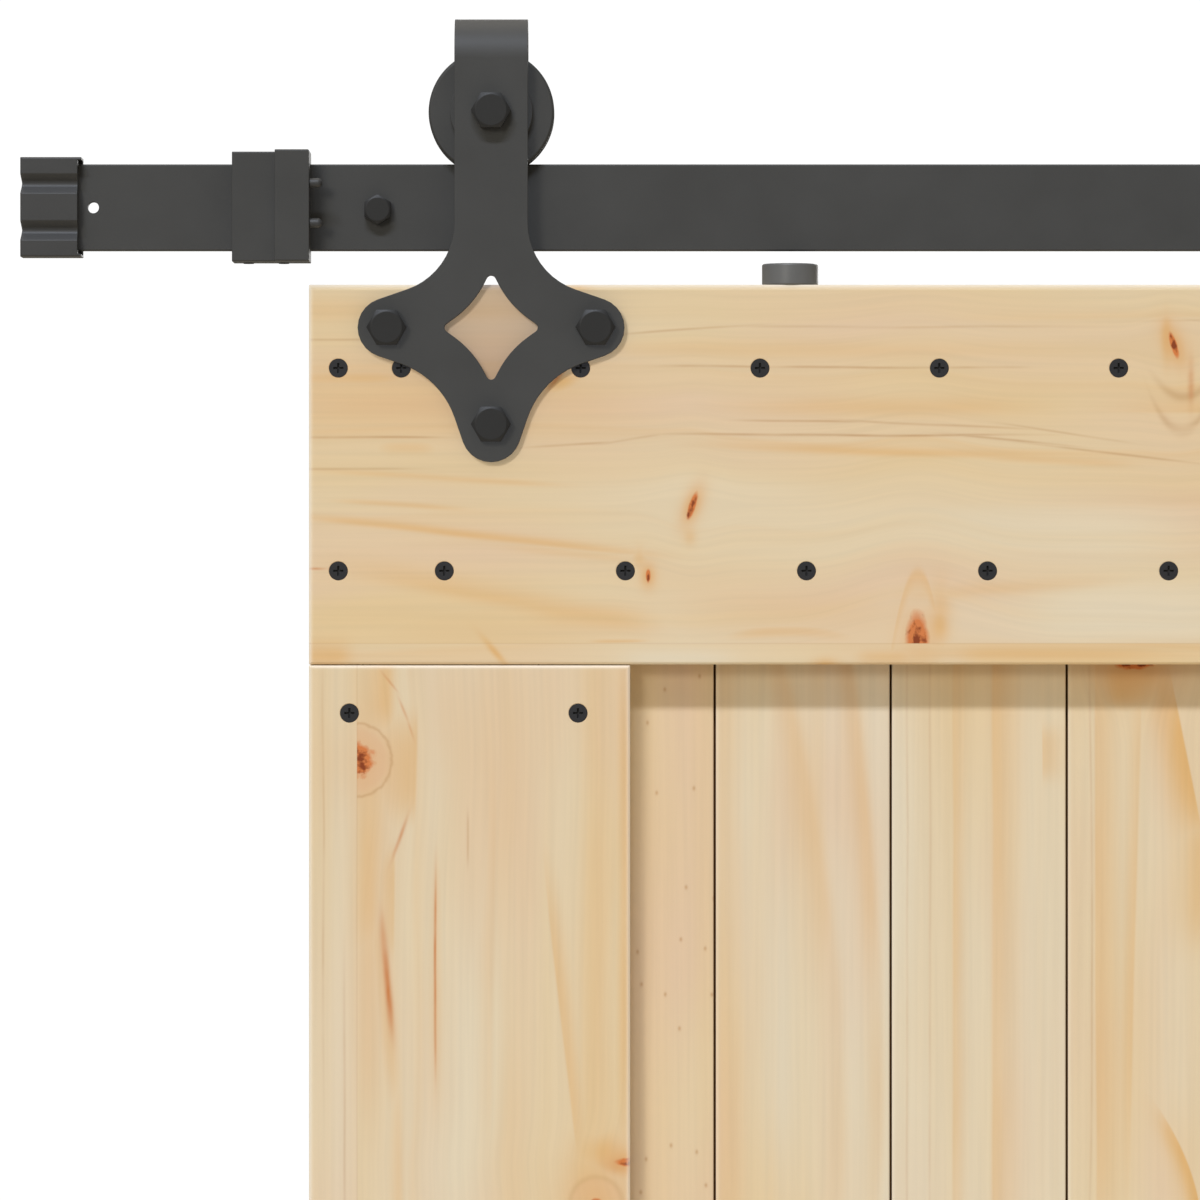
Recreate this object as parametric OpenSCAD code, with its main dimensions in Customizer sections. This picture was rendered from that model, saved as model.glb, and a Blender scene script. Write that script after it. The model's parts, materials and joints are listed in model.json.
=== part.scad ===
// Sliding barn door: a framed plank door hung by two bent strap hangers on a flat wall rail.
// The wall is the plane Y = 0 and the door's face looks along -Y, with +Z up.
// The origin is the middle of the row of wall bolts, on the wall.

/* [Rail] */
// Length of the flat rail
rail_len = 1830; // [1700:1:2200]
// Height of the rail
rail_h = 40; // [34:0.5:48]
// Thickness of the rail
rail_t = 6; // [5:0.5:8]
// Bevel along the rail's long edges
rail_bevel = 0.5; // [0.2:0.1:1.8]
// Distance of the outermost wall bolts from the rail's ends
wall_bolt_in = 161.4; // [145:0.1:300]
// How far the row of wall bolts lies below the middle of the rail
wall_bolt_drop = 1; // [0:0.5:4]
// Diameter of the small hole near each end of the rail
end_hole_d = 5.2; // [3:0.1:8]
// Distance of that hole from the rail's end
end_hole_in = 30; // [28:0.5:45]

/* [Wall bolts] */
// Number of wall bolts
wall_bolt_count = 4; // [3:1:4]
// Shank diameter of a wall bolt
wall_bolt_d = 8; // [6:0.5:10]
// Diameter of the threaded part that goes into the wall
wall_thread_d = 7.4; // [5:0.1:7.6]
// Depth of the thread in the wall
wall_thread_len = 45; // [30:1:80]
// Width across the flats of a wall bolt's head
wall_head_af = 12; // [11:0.5:16]
// Height of a wall bolt's head
wall_head_h = 5.5; // [4:0.1:7]
// Turn of the wall bolts' heads
wall_head_turn = 30; // [0:1:60]
// Length of the spacer tube between wall and rail
spacer_len = 31; // [28:0.5:45]
// Outer diameter of the spacer tube
spacer_d = 22; // [16:0.5:26]
// Radial play of a bolt in its hole
bolt_play = 0.3; // [0.1:0.05:0.8]

/* [End caps] */
// Length of an end cap along the rail
cap_len = 28.2; // [20:0.1:30]
// How far the cap's ribbed front stops short of its mouth
cap_front_short = 1.8; // [0.5:0.1:4]
// Thickness of the cap's closed end
cap_end_t = 3.3; // [2:0.1:5]
// Wall of the cap above and below the rail
cap_wall = 1.3; // [0.8:0.1:4]
// Room between cap and rail edges
cap_room = 1.7; // [0.4:0.1:2]
// Room between cap and rail faces
cap_face_room = 0.3; // [0.1:0.1:0.8]
// Thickness of the ribbed front of the cap
cap_front_t = 6.5; // [4.5:0.1:9]
// Thickness of the back of the cap
cap_back_t = 3; // [1.5:0.1:6]
// Width of each hollow groove round the cap's front and end
cap_groove_w = 9.2; // [6:0.1:11]
// Depth of each groove in the cap's front, before its floor is rounded
cap_groove_deep = 3.8; // [1.5:0.1:4.4]
// Depth of each groove in the cap's end
cap_end_groove = 0.7; // [0.3:0.1:1.2]
// Radius of the groove's floor
cap_groove_r = 2.5; // [0.5:0.1:3]
// Distance between the two grooves
cap_groove_pitch = 21.6; // [14:0.1:24]
// Bevel on the cap's outer edges
cap_bevel = 0.6; // [0.2:0.1:1]

/* [Door stops] */
// Distance of a stop from the rail's end
stop_in = 94.6; // [80:0.1:140]
// Length of the clamping part of a stop
stop_clamp_len = 19.9; // [14:0.1:30]
// Length of the thicker nose that faces the door
stop_nose_len = 15.8; // [10:0.1:24]
// Wall of the stop above the rail
stop_top_t = 5; // [4:0.1:9]
// Wall of the stop below the rail
stop_bottom_t = 5.2; // [4:0.1:9]
// Extra height of the nose
stop_nose_rise = 0.8; // [0.2:0.1:3]
// How far the clamping part lies behind the nose's face
stop_step = 5; // [1:0.5:8]
// How far the nose stands in front of the hanger strap
stop_nose_proud = 1; // [0.2:0.1:4]
// Thickness of the lips behind the rail
stop_lip_t = 4; // [2:0.1:7]
// Height of the lips behind the rail
stop_lip_h = 9; // [4:0.5:14]
// Room between stop and rail
stop_room = 0.2; // [0.1:0.05:0.8]
// Bevel on the stop's edges
stop_bevel = 0.5; // [0.2:0.1:1.6]
// Distance of the first set screw from the stop's outer end
set_screw_in = 7.1; // [5:0.1:9]
// Distance between the two set screws
set_screw_pitch = 16.3; // [12:0.1:20]
// Diameter of a set screw under the stop
set_screw_d = 5; // [4:0.5:6]
// Hexagon socket of a set screw, across the flats
set_screw_af = 2.5; // [1.5:0.5:3]
// How far a set screw stands out below the stop
set_screw_proud = 0.5; // [0.1:0.1:2]
// Play between a set screw and its thread or the rail
set_screw_play = 0.05; // [0.02:0.01:0.2]
// Diameter of a rubber bumper peg
bumper_d = 4.4; // [3:0.1:7]
// Length of a bumper peg outside the stop
bumper_len = 6; // [5:0.1:10]
// Diameter of the peg's stem inside the stop
bumper_stem_d = 2.6; // [1.5:0.1:2.8]
// Length of the peg's stem
bumper_stem_len = 6; // [3:0.1:9]
// Distance between the two pegs
bumper_pitch = 18.4; // [12:0.1:26]
// How far the pair of pegs lies above the middle of the rail
bumper_rise = 1.4; // [-2:0.1:3]

/* [Door] */
// Width of the door
door_w = 900; // [700:1:1000]
// Height of the door
door_h = 2100; // [1800:1:2300]
// Thickness of the frame boards
frame_t = 18; // [15:0.5:24]
// Thickness of the slats behind them
slat_t = 18; // [15:0.5:24]
// Height of the header and of the bottom rail
header_h = 175; // [150:1:220]
// Width of a stile
stile_w = 148; // [135:1:170]
// Open joint between stile and cross boards
frame_joint = 0.4; // [0.1:0.1:1]
// Bevel on the front edges of the frame boards
frame_bevel = 1; // [0.3:0.1:2]
// Bevel on the top edge of the door
top_bevel = 2.2; // [0.5:0.1:4]
// Distance of the door's edge from the rail's end, with the door at rest
door_start = 130; // [110:1:200]
// Clear height between rail and door
door_gap = 16; // [13:0.1:25]

/* [Slats] */
// Width that each slat behind a hanger takes up
slat_pitch = 81.5; // [75:0.5:110]
// Width of the narrow slat at the left edge
first_slat_w = 24.2; // [18:0.1:28]
// Width of the slat at the right edge
last_slat_w = 60.8; // [54:0.1:68]
// Number of slats that share the width between those behind the hangers
mid_slats = 6; // [4:1:8]
// Open groove between two slats
slat_gap = 1; // [0.4:0.1:2]
// Bevel along the slat's front edges
slat_bevel = 0.5; // [0.1:0.1:1]
// Thickness of the tongue
tongue_t = 6; // [4:0.1:8]
// Length of the tongue past the slat's edge
tongue_len = 6; // [4:0.1:9]
// Room round the tongue in its groove
tongue_room = 0.2; // [0.1:0.05:0.6]

/* [Wood screws] */
// Head diameter of a countersunk screw
screw_head_d = 8.7; // [7:0.1:10]
// Rim of the countersunk head
screw_rim = 0.4; // [0.2:0.1:0.8]
// Shank diameter
screw_d = 4.2; // [3:0.1:5]
// Length of the pointed tip
screw_tip = 5; // [3:0.5:8]
// Wood left behind the tip
screw_cover = 6; // [3:0.5:9]
// Play of a screw in its hole
screw_play = 0.05; // [0.02:0.01:0.2]
// Length of each arm pair of the cross recess
cross_len = 4.6; // [3:0.1:5.5]
// Width of the recess arms
cross_w = 0.9; // [0.5:0.1:1.4]
// Depth of the recess
cross_deep = 1.5; // [0.8:0.1:2]
// Distance of the outermost screws from the door's side edges
screw_edge_in = 13.6; // [10:0.1:18]
// Outer row of header screws below the door's top
row_a_in = 38.5; // [34:0.5:50]
// First inner screw of that row from the left edge
row_a_first = 42.6; // [40:0.1:70]
// Pitch of that row
row_a_pitch = 82.6; // [60:0.1:110]
// Inner row of header screws below the door's top
row_b_in = 131.9; // [100:0.1:140]
// First inner screw of that row from the left edge
row_b_first = 62.4; // [40:0.1:80]
// Pitch of that row
row_b_pitch = 83.4; // [60:0.1:110]
// Stile screws from the stile's outer edge
stile_screw_out = 18.7; // [12:0.1:30]
// Stile screws from the stile's inner edge
stile_screw_inner = 24; // [12:0.1:40]
// Stile screws from the stile's ends
stile_screw_end = 22; // [15:0.5:60]
// Number of screw pairs along a stile
stile_screw_rows = 5; // [3:1:8]

/* [Hangers] */
// Distance of a hanger from the door's side edge
hanger_in = 84; // [75:0.5:130]
// Width of the strap
strap_w = 33.8; // [28:0.1:40]
// Thickness of the strap
strap_t = 5; // [4:0.1:7]
// Inside width of the strap's bend
strap_gap = 28; // [26:0.5:36]
// Height of the strap's top above the axle
strap_rise = 43.3; // [40:0.1:55]
// Length of the rear leg below the axle
tail_drop = 20; // [15:0.5:23]
// Corner radius of the rear leg
tail_r = 8; // [3:0.5:12]
// Middle of the star plate below the door's top
plate_drop = 20; // [18:0.5:40]
// Distance from the plate's middle to the middle of each side arm's round end
arm_reach = 47.7; // [44:0.1:60]
// Distance from the plate's middle to the middle of the lower arm's round end
low_arm_reach = 48.2; // [44:0.1:60]
// Radius of the round arm ends
arm_r = 13.7; // [12:0.1:16]
// Taper of the arms on each side
arm_taper = 19; // [16:0.5:22]
// Fillet between strap and side arms
neck_r = 32.3; // [20:0.1:36]
// Fillet between side arms and lower arm
crotch_r = 40; // [20:0.5:45]
// Half height of the diamond cut-out
diamond_h = 26.5; // [20:0.1:28]
// Half width of the diamond cut-out
diamond_w = 23; // [18:0.1:25]
// How far the sides of the cut-out are drawn in
diamond_waist = 4.2; // [2:0.1:5]
// Radius of the cut-out's corners
diamond_tip_r = 2.2; // [1:0.1:3]
// Radius of the cut-out's sides
diamond_side_r = 45; // [20:1:50]
// Distance of the side bolts from the plate's middle
side_bolt_out = 48; // [44:0.1:60]
// Distance of the lower bolt from the plate's middle
low_bolt_drop = 44.5; // [42:0.1:60]

/* [Hanger bolts] */
// Diameter of the hanger bolts and axle bolts
bolt_d = 10; // [8:0.5:10]
// Width across the flats of their heads
bolt_af = 16; // [14:0.5:18]
// Height of their heads
bolt_head_h = 6.4; // [5:0.1:8]
// Height of an axle nut
nut_h = 8; // [6:0.1:9]
// Thread end past an axle nut
axle_end = 2; // [0.5:0.1:4]
// Outer diameter of a sleeve nut's barrel
sleeve_d = 13; // [12:0.1:15]
// Length of a sleeve nut's barrel
sleeve_len = 16; // [12:0.5:17]
// Diameter of a sleeve nut's flange
sleeve_flange_d = 20; // [17:0.5:24]
// Thickness of a sleeve nut's flange
sleeve_flange_t = 2.5; // [1.5:0.1:4]
// Hexagon socket in the sleeve nut's flange, across the flats
sleeve_af = 6; // [4:0.5:8]
// Solid end between a sleeve nut's thread and its flange
sleeve_end = 2; // [1:0.1:3]
// How far a hanger bolt reaches into the barrel
bolt_grip = 10; // [6:0.5:11]
// Play of a thread in its nut
thread_play = 0.05; // [0.02:0.01:0.2]

/* [Wheels] */
// Rolling radius at the bottom of the wheel's groove
tread_r = 23.6; // [23:0.1:28]
// Outer radius of the wheel's flanges
flange_r = 29; // [27:0.1:31]
// Width of the wheel at its flanges
wheel_w = 18; // [15:0.1:20]
// Room between rail and groove on each side
groove_room = 0.8; // [0.5:0.1:1.2]
// How far each side of the groove opens outwards
groove_flare = 1.4; // [0.5:0.1:1.8]
// Gap between wheel and rail
roll_gap = 0.2; // [0.1:0.05:0.3]
// Bevel on the flanges
flange_bevel = 1; // [0.3:0.1:1.4]
// Radius of the raised hub
hub_r = 19; // [18:0.1:21]
// Room between hub and strap on each side
hub_room = 2.5; // [1:0.1:4]
// Outer diameter of the ball bearing
bearing_d = 30; // [26:0.5:32]
// Width of the ball bearing
bearing_w = 9; // [7:0.1:11]
// Wall of the bearing's two rings
race_t = 2.8; // [2:0.1:3]
// Thickness of the bearing's shields
shield_t = 1; // [0.6:0.1:1.5]
// Depth of the shields behind the ring faces
shield_in = 0.2; // [0.1:0.1:0.6]
// Running gap between shield and inner ring
shield_play = 0.08; // [0.05:0.01:0.1]
// Radial play of the bearing on axle and seat
bearing_play = 0.03; // [0.02:0.01:0.1]
// Shoulder that the bearing seats against
seat_shoulder = 2.5; // [1.5:0.1:3]
// Thickness of the retaining ring
clip_t = 1.2; // [0.8:0.1:1.6]
// Depth of the retaining ring's groove
clip_groove = 1; // [0.6:0.1:1.4]
// Radial width of the retaining ring
clip_w = 2.4; // [1.5:0.1:3]
// Open gap of the retaining ring
clip_gap = 7; // [4:0.5:10]
// Side play of the retaining ring
clip_play = 0.05; // [0.02:0.01:0.2]
// Outer diameter of the bushes beside the bearing
bush_d = 14; // [13:0.1:15]
// Radial play of the bushes on the axle bolt
bush_play = 0.1; // [0.05:0.05:0.3]

/* [Anti-jump discs] */
// Diameter of the disc on the door's top
disc_d = 26; // [20:0.5:30]
// Height of the disc
disc_h = 10; // [6:0.1:12]
// Distance of the disc from the door's side edge
disc_in = 222; // [180:0.5:300]
// Bevel on the disc
disc_bevel = 0.6; // [0.2:0.1:1.5]
// Length of the disc's screw in the door
disc_screw_bite = 30; // [20:1:33]

/* [Floor guide] */
// Gap between door and floor
floor_gap = 10; // [8:0.5:20]
// Length of the guide along the door
guide_len = 60; // [40:1:90]
// Thickness of the guide's folded sheet
guide_t = 3; // [2:0.1:4]
// Inner radius of the guide's folds
guide_fold_r = 1.5; // [0.5:0.1:2]
// Height of the guide's cheeks beside the door
guide_cheek = 30; // [20:1:60]
// Thickness of the sliding pads
pad_t = 2.5; // [1.5:0.1:5]
// Height of the sliding pads
pad_h = 24; // [15:1:28]
// Length of the sliding pads
pad_len = 50; // [30:1:60]
// Bevel at the ends of the pads
pad_bevel = 1; // [0.5:0.1:1.4]
// Gap between pad and door
pad_room = 0.5; // [0.3:0.1:0.9]
// Diameter of the guide's screw holes
guide_hole_d = 5.2; // [4:0.1:7]
// Countersink diameter of these holes
guide_sink_d = 9; // [8:0.1:11]
// Distance between the two screw holes
guide_hole_pitch = 36; // [24:0.5:50]
// Distance of the guide's middle from the door's right edge, with the door at rest
guide_in = 115; // [90:1:150]

/* [Hidden] */
$fn = 64;
// Points on each rounded corner of an outline
arc_steps = 10;
// Overrun of a cut past the face it opens
over = 1;
// Slope of a bolt head's bevel and its flat's share of the width across flats
crown_slope = 30;
crown_share = 0.49;
steel_black = "#484846";
bolt_black = "#363636";
screw_black = "#2a2a2d";
pine = "#dec6a0";
rubber_black = "#3a3a3a";
nylon_grey = "#626262";
bright_steel = "#a8a8a8";

// Rail, from the wall outwards
rail_z = wall_bolt_drop;
rail_top = rail_z + rail_h / 2;
rail_bottom = rail_z - rail_h / 2;
rail_back = -spacer_len;
rail_front = rail_back - rail_t;
rail_mid = rail_back - rail_t / 2;
wall_bolt_pitch = (rail_len - 2 * wall_bolt_in) / (wall_bolt_count - 1);
wall_bolt_xs = [for (i = [0:wall_bolt_count - 1]) wall_bolt_in - rail_len / 2 + i * wall_bolt_pitch];

// Door leaf, hung so that the rail runs in the middle of the strap's bend
door_front = rail_mid - strap_gap / 2;
slat_front = door_front + frame_t;
door_back = slat_front + slat_t;
door_top = rail_bottom - door_gap;
door_bottom = door_top - door_h;
door_left = door_start - rail_len / 2;
door_right = door_left + door_w;
stile_top = door_top - header_h - frame_joint;
stile_bottom = door_bottom + header_h + frame_joint;
hanger_xs = [door_left + hanger_in, door_right - hanger_in];
disc_xs = [door_left + disc_in, door_right - disc_in];
plate_z = door_top - plate_drop;
wheel_z = rail_top + roll_gap + tread_r;
strap_face = door_front - strap_t;
rear_leg_front = rail_mid + strap_gap / 2;
rear_leg_back = rear_leg_front + strap_t;
bend_r = strap_gap / 2 + strap_t;
bend_z = wheel_z + strap_rise - bend_r;
floor_z = door_bottom - floor_gap;
guide_x = door_right - guide_in;
guide_mid = (door_front + door_back) / 2;
guide_inner = (door_back - door_front) / 2 + pad_room + pad_t;

// Left door stop, its pegs at the height of the strap's edge and its set screws under the rail
stop_left_x = stop_in - rail_len / 2;
nose_left_x = stop_left_x + stop_clamp_len;
nose_right_x = nose_left_x + stop_nose_len;
nose_face = strap_face - stop_nose_proud;
peg_y = door_front - strap_t / 2;
peg_zs = [for (side = [-1, 1]) rail_z + bumper_rise + side * bumper_pitch / 2];
set_screw_y = rail_mid;
set_screw_xs = [for (i = [0, 1]) stop_left_x + set_screw_in + i * set_screw_pitch];

// Slats: edges of the visible boards, from the door's left edge
left_slats_w = first_slat_w + 2 * slat_pitch;
right_slats_w = last_slat_w + 2 * slat_pitch;
mid_pitch = (door_w - left_slats_w - right_slats_w) / mid_slats;
slat_edges = concat(
    [0, first_slat_w, first_slat_w + slat_pitch],
    [for (i = [0:mid_slats]) left_slats_w + i * mid_pitch],
    [door_w - last_slat_w - slat_pitch, door_w - last_slat_w, door_w]);
slat_count = len(slat_edges) - 1;

// Screw places as [x, z]
function row_xs(first, pitch) = concat(
    [screw_edge_in],
    [for (x = [first:pitch:door_w - screw_edge_in - 2 * screw_head_d]) x],
    [door_w - screw_edge_in]);
function row_points(first, pitch, z) = [for (x = row_xs(first, pitch)) [door_left + x, z]];
header_points = concat(
    row_points(row_a_first, row_a_pitch, door_top - row_a_in),
    row_points(row_b_first, row_b_pitch, door_top - row_b_in));
bottom_points = concat(
    row_points(row_a_first, row_a_pitch, door_bottom + row_a_in),
    row_points(row_b_first, row_b_pitch, door_bottom + row_b_in));
stile_screw_xs = [stile_screw_out, stile_w - stile_screw_inner];
stile_row_step = (stile_top - stile_bottom - 2 * stile_screw_end) / (stile_screw_rows - 1);
stile_zs = [for (i = [0:stile_screw_rows - 1]) stile_top - stile_screw_end - i * stile_row_step];
left_stile_points = [for (x = stile_screw_xs, z = stile_zs) [door_left + x, z]];
right_stile_points = [for (x = stile_screw_xs, z = stile_zs) [door_right - x, z]];
all_points = concat(header_points, bottom_points, left_stile_points, right_stile_points);
screw_len = frame_t + slat_t - screw_cover;

// Hanger bolt places as [x, z]
bolt_points = [for (x = hanger_xs) each [
    [x - side_bolt_out, plate_z],
    [x + side_bolt_out, plate_z],
    [x, plate_z - low_bolt_drop]]];
bolt_len = strap_t + frame_t + slat_t - sleeve_len + bolt_grip;

// Wheel and bearing
hub_half = strap_gap / 2 - hub_room;
rim_half = wheel_w / 2;
bearing_half = bearing_w / 2;
groove_half = rail_t / 2 + groove_room;
seat_r = bearing_d / 2 + bearing_play;
axle_hole_r = bolt_d / 2 + bearing_play;
inner_ring_r = axle_hole_r + race_t;
clip_r = seat_r + clip_groove;
clip_front = bearing_half + clip_play;
clip_back = clip_front + clip_t;
axle_len = 2 * strap_t + strap_gap + nut_h + axle_end;

// Outlines with rounded corners: each corner is [x, y, radius]
function unit(v) = v / norm(v);
function heading(v) = atan2(v[1], v[0]);
function short_turn(a) = a > 180 ? a - 360 : (a < -180 ? a + 360 : a);
function flat_point(corner) = [corner[0], corner[1]];
function fillet(a, b, c, r) =
    let (u = unit(a - b),
         v = unit(c - b),
         half = acos(u * v) / 2,
         centre = b + unit(u + v) * r / sin(half),
         start = heading(b + u * r / tan(half) - centre),
         sweep = short_turn(heading(b + v * r / tan(half) - centre) - start))
    [for (k = [0:arc_steps])
        centre + r * [cos(start + sweep * k / arc_steps), sin(start + sweep * k / arc_steps)]];
function rounded_outline(corners) =
    let (n = len(corners))
    [for (i = [0:n - 1])
        let (b = flat_point(corners[i]),
             before = flat_point(corners[(i + n - 1) % n]),
             after = flat_point(corners[(i + 1) % n]),
             r = corners[i][2])
        each (r > 0 ? fillet(before, b, after, r) : [b])];

// Local +Z turned to face the wall or the room
module to_wall(x, y, z) {
    translate([x, y, z]) rotate([-90, 0, 0]) children();
}
module to_room(x, y, z) {
    translate([x, y, z]) rotate([90, 0, 0]) children();
}
// A profile in Y and Z drawn out along X
module along_x(x, length) {
    translate([x, 0, 0]) rotate([90, 0, 90]) linear_extrude(length) children();
}
// The left-hand piece, or its mirror image at the other end of the rail
module rail_side(right) {
    mirror([right ? 1 : 0, 0, 0]) children();
}

// Hexagon head with a bevelled crown, standing on Z = 0
module hex_head(af, height) {
    corner_r = af / sqrt(3);
    flat_r = af * crown_share;
    drop = (corner_r + over - flat_r) * tan(crown_slope);
    intersection() {
        cylinder(r = corner_r, h = height, $fn = 6);
        rotate_extrude()
            polygon([[0, 0], [corner_r + over, 0], [corner_r + over, height - drop],
                     [flat_r, height], [0, height]]);
    }
}

// Countersunk screw pointing along +Z from its flush head
module screw_shape(length, play, top) {
    head_r = screw_head_d / 2 + play;
    shank_r = screw_d / 2 + play;
    rotate_extrude()
        polygon([[0, -top], [head_r, -top], [head_r, screw_rim],
                 [shank_r, screw_rim + head_r - shank_r],
                 [shank_r, length - screw_tip], [0, length + play]]);
}
module wood_screw(length) {
    difference() {
        screw_shape(length, 0, 0);
        for (a = [0, 90])
            rotate([0, 0, a])
                translate([-cross_len / 2, -cross_w / 2, -over])
                    cube([cross_len, cross_w, cross_deep + over]);
    }
}
module screw_holes(points) {
    for (p = points)
        to_wall(p[0], door_front, p[1]) screw_shape(screw_len, screw_play, over);
}

// Stepped holes for the hanger bolts and their sleeve nuts
module bolt_holes(points) {
    for (p = points) {
        to_wall(p[0], door_front - over, p[1])
            cylinder(r = bolt_d / 2 + bolt_play, h = frame_t + slat_t + 2 * over);
        to_room(p[0], door_back + over, p[1])
            cylinder(r = sleeve_d / 2 + bolt_play, h = sleeve_len + bolt_play + over);
    }
}
module disc_screw_holes(xs) {
    for (x = xs)
        translate([x, rail_mid, door_top + disc_h])
            rotate([180, 0, 0])
                screw_shape(disc_h + disc_screw_bite, screw_play, over);
}

// Fixed parts on the wall
module rail() {
    h = rail_h / 2;
    b = rail_bevel;
    color(steel_black) difference() {
        along_x(-rail_len / 2, rail_len)
            polygon([[rail_back - b, rail_z - h], [rail_front + b, rail_z - h],
                     [rail_front, rail_z - h + b], [rail_front, rail_z + h - b],
                     [rail_front + b, rail_z + h], [rail_back - b, rail_z + h],
                     [rail_back, rail_z + h - b], [rail_back, rail_z - h + b]]);
        for (x = wall_bolt_xs)
            to_wall(x, rail_front - over, 0)
                cylinder(r = wall_bolt_d / 2 + bolt_play, h = rail_t + 2 * over);
        for (side = [-1, 1])
            to_wall(side * (rail_len / 2 - end_hole_in), rail_front - over, rail_z)
                cylinder(d = end_hole_d, h = rail_t + 2 * over);
    }
}

// Hollow groove cut into the face X = 0, with sloping sides and a rounded floor
module groove_section(deep) {
    half = cap_groove_w / 2;
    polygon(rounded_outline([[-over, -half, 0], [0, -half, 0], [deep, 0, cap_groove_r],
                             [0, half, 0], [-over, half, 0]]));
}

// Ribbed cap pushed over the rail's end
module end_cap(right) {
    left = -rail_len / 2 - cap_end_t;
    front = rail_front - cap_face_room - cap_front_t;
    back = rail_back + cap_face_room + cap_back_t;
    half = rail_h / 2 + cap_room + cap_wall;
    mouth = left + cap_len;
    b = cap_bevel;
    groove_zs = [for (side = [-1, 1]) rail_z + side * cap_groove_pitch / 2];
    color(rubber_black) rail_side(right) difference() {
        intersection() {
            along_x(left, cap_len)
                polygon([[front + b, rail_z - half], [back, rail_z - half], [back, rail_z + half],
                         [front + b, rail_z + half], [front, rail_z + half - b],
                         [front, rail_z - half + b]]);
            translate([0, 0, rail_z - half]) linear_extrude(2 * half)
                polygon([[left + b, front], [mouth, front], [mouth, back], [left, back],
                         [left, front + b]]);
        }
        for (z = groove_zs) {
            along_x(left - over, cap_len + 2 * over) translate([front, z])
                groove_section(cap_groove_deep);
            translate([left, back + over, z]) rotate([90, 0, 0]) linear_extrude(back - front + 2 * over)
                groove_section(cap_end_groove);
        }
        translate([-rail_len / 2, rail_front - cap_face_room, rail_bottom - cap_room])
            cube([cap_len, rail_t + 2 * cap_face_room, rail_h + 2 * cap_room]);
        translate([mouth - cap_front_short, front - over, rail_bottom - cap_room])
            cube([cap_front_short + over, cap_front_t + 2 * over, rail_h + 2 * cap_room]);
    }
}

// Section of a door stop: a hook round the front, top and bottom of the rail
module stop_section(face, rise) {
    top = rail_top + stop_room + stop_top_t + rise;
    bottom = rail_bottom - stop_room - stop_bottom_t;
    back = rail_back + stop_room + stop_lip_t;
    b = stop_bevel;
    difference() {
        polygon([[face, bottom + b], [face + b, bottom], [back, bottom], [back, top],
                 [face + b, top], [face, top - b]]);
        translate([rail_front - stop_room, rail_bottom - stop_room])
            square([rail_t + 2 * stop_room, rail_h + 2 * stop_room]);
        translate([rail_mid, rail_bottom - stop_room + stop_lip_h])
            square([back - rail_mid + over, rail_h + 2 * (stop_room - stop_lip_h)]);
    }
}
module door_stop(right) {
    nose_top = rail_top + stop_room + stop_top_t + stop_nose_rise;
    nose_deep = rail_back + stop_room + stop_lip_t - nose_face;
    corner = stop_bevel + over;
    color(steel_black) rail_side(right) difference() {
        union() {
            along_x(stop_left_x, stop_clamp_len) stop_section(nose_face + stop_step, 0);
            along_x(nose_left_x, stop_nose_len) stop_section(nose_face, stop_nose_rise);
        }
        to_wall(nose_right_x, nose_face - over, nose_top) linear_extrude(nose_deep + 2 * over)
            polygon([[-corner, -over], [over, -over], [over, corner]]);
        for (x = set_screw_xs)
            translate([x, set_screw_y, rail_bottom - stop_bottom_t - 2 * over])
                cylinder(d = set_screw_d + 2 * set_screw_play, h = stop_bottom_t + 3 * over);
        for (z = peg_zs)
            translate([nose_right_x - bumper_stem_len, peg_y, z])
                rotate([0, 90, 0])
                    cylinder(d = bumper_stem_d + 2 * set_screw_play, h = bumper_stem_len + over);
    }
}
module stop_bumpers(right) {
    r = bumper_d / 2;
    color(rubber_black) rail_side(right)
        for (z = peg_zs)
            translate([nose_right_x, peg_y, z]) rotate([0, 90, 0]) rotate_extrude()
                polygon(concat(
                    [[0, -bumper_stem_len], [bumper_stem_d / 2, -bumper_stem_len],
                     [bumper_stem_d / 2, 0], [r, 0]],
                    [for (k = [0:arc_steps])
                        let (a = 90 * k / arc_steps)
                        [r * cos(a), bumper_len - r + r * sin(a)]]));
}
module stop_set_screws() {
    foot = rail_bottom - stop_room - stop_bottom_t - set_screw_proud;
    color(bolt_black)
        for (right = [false, true])
            rail_side(right)
                for (x = set_screw_xs)
                    translate([x, set_screw_y, foot]) difference() {
                        cylinder(d = set_screw_d, h = rail_bottom - set_screw_play - foot);
                        translate([0, 0, -over])
                            cylinder(r = set_screw_af / sqrt(3), h = set_screw_af + over, $fn = 6);
                    }
}
module wall_bolts() {
    shank = spacer_len + rail_t;
    color(bolt_black)
        for (x = wall_bolt_xs) {
            to_room(x, rail_front, 0) rotate([0, 0, wall_head_turn]) hex_head(wall_head_af, wall_head_h);
            to_wall(x, rail_front, 0) rotate_extrude()
                polygon([[0, 0], [wall_bolt_d / 2, 0], [wall_bolt_d / 2, shank],
                         [wall_thread_d / 2, shank],
                         [wall_thread_d / 2, shank + wall_thread_len - wall_thread_d],
                         [0, shank + wall_thread_len]]);
        }
}
module wall_spacer(i) {
    color(steel_black)
        to_wall(wall_bolt_xs[i - 1], rail_back, 0) difference() {
            cylinder(d = spacer_d, h = spacer_len);
            translate([0, 0, -over])
                cylinder(r = wall_bolt_d / 2 + bolt_play, h = spacer_len + 2 * over);
        }
}

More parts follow.
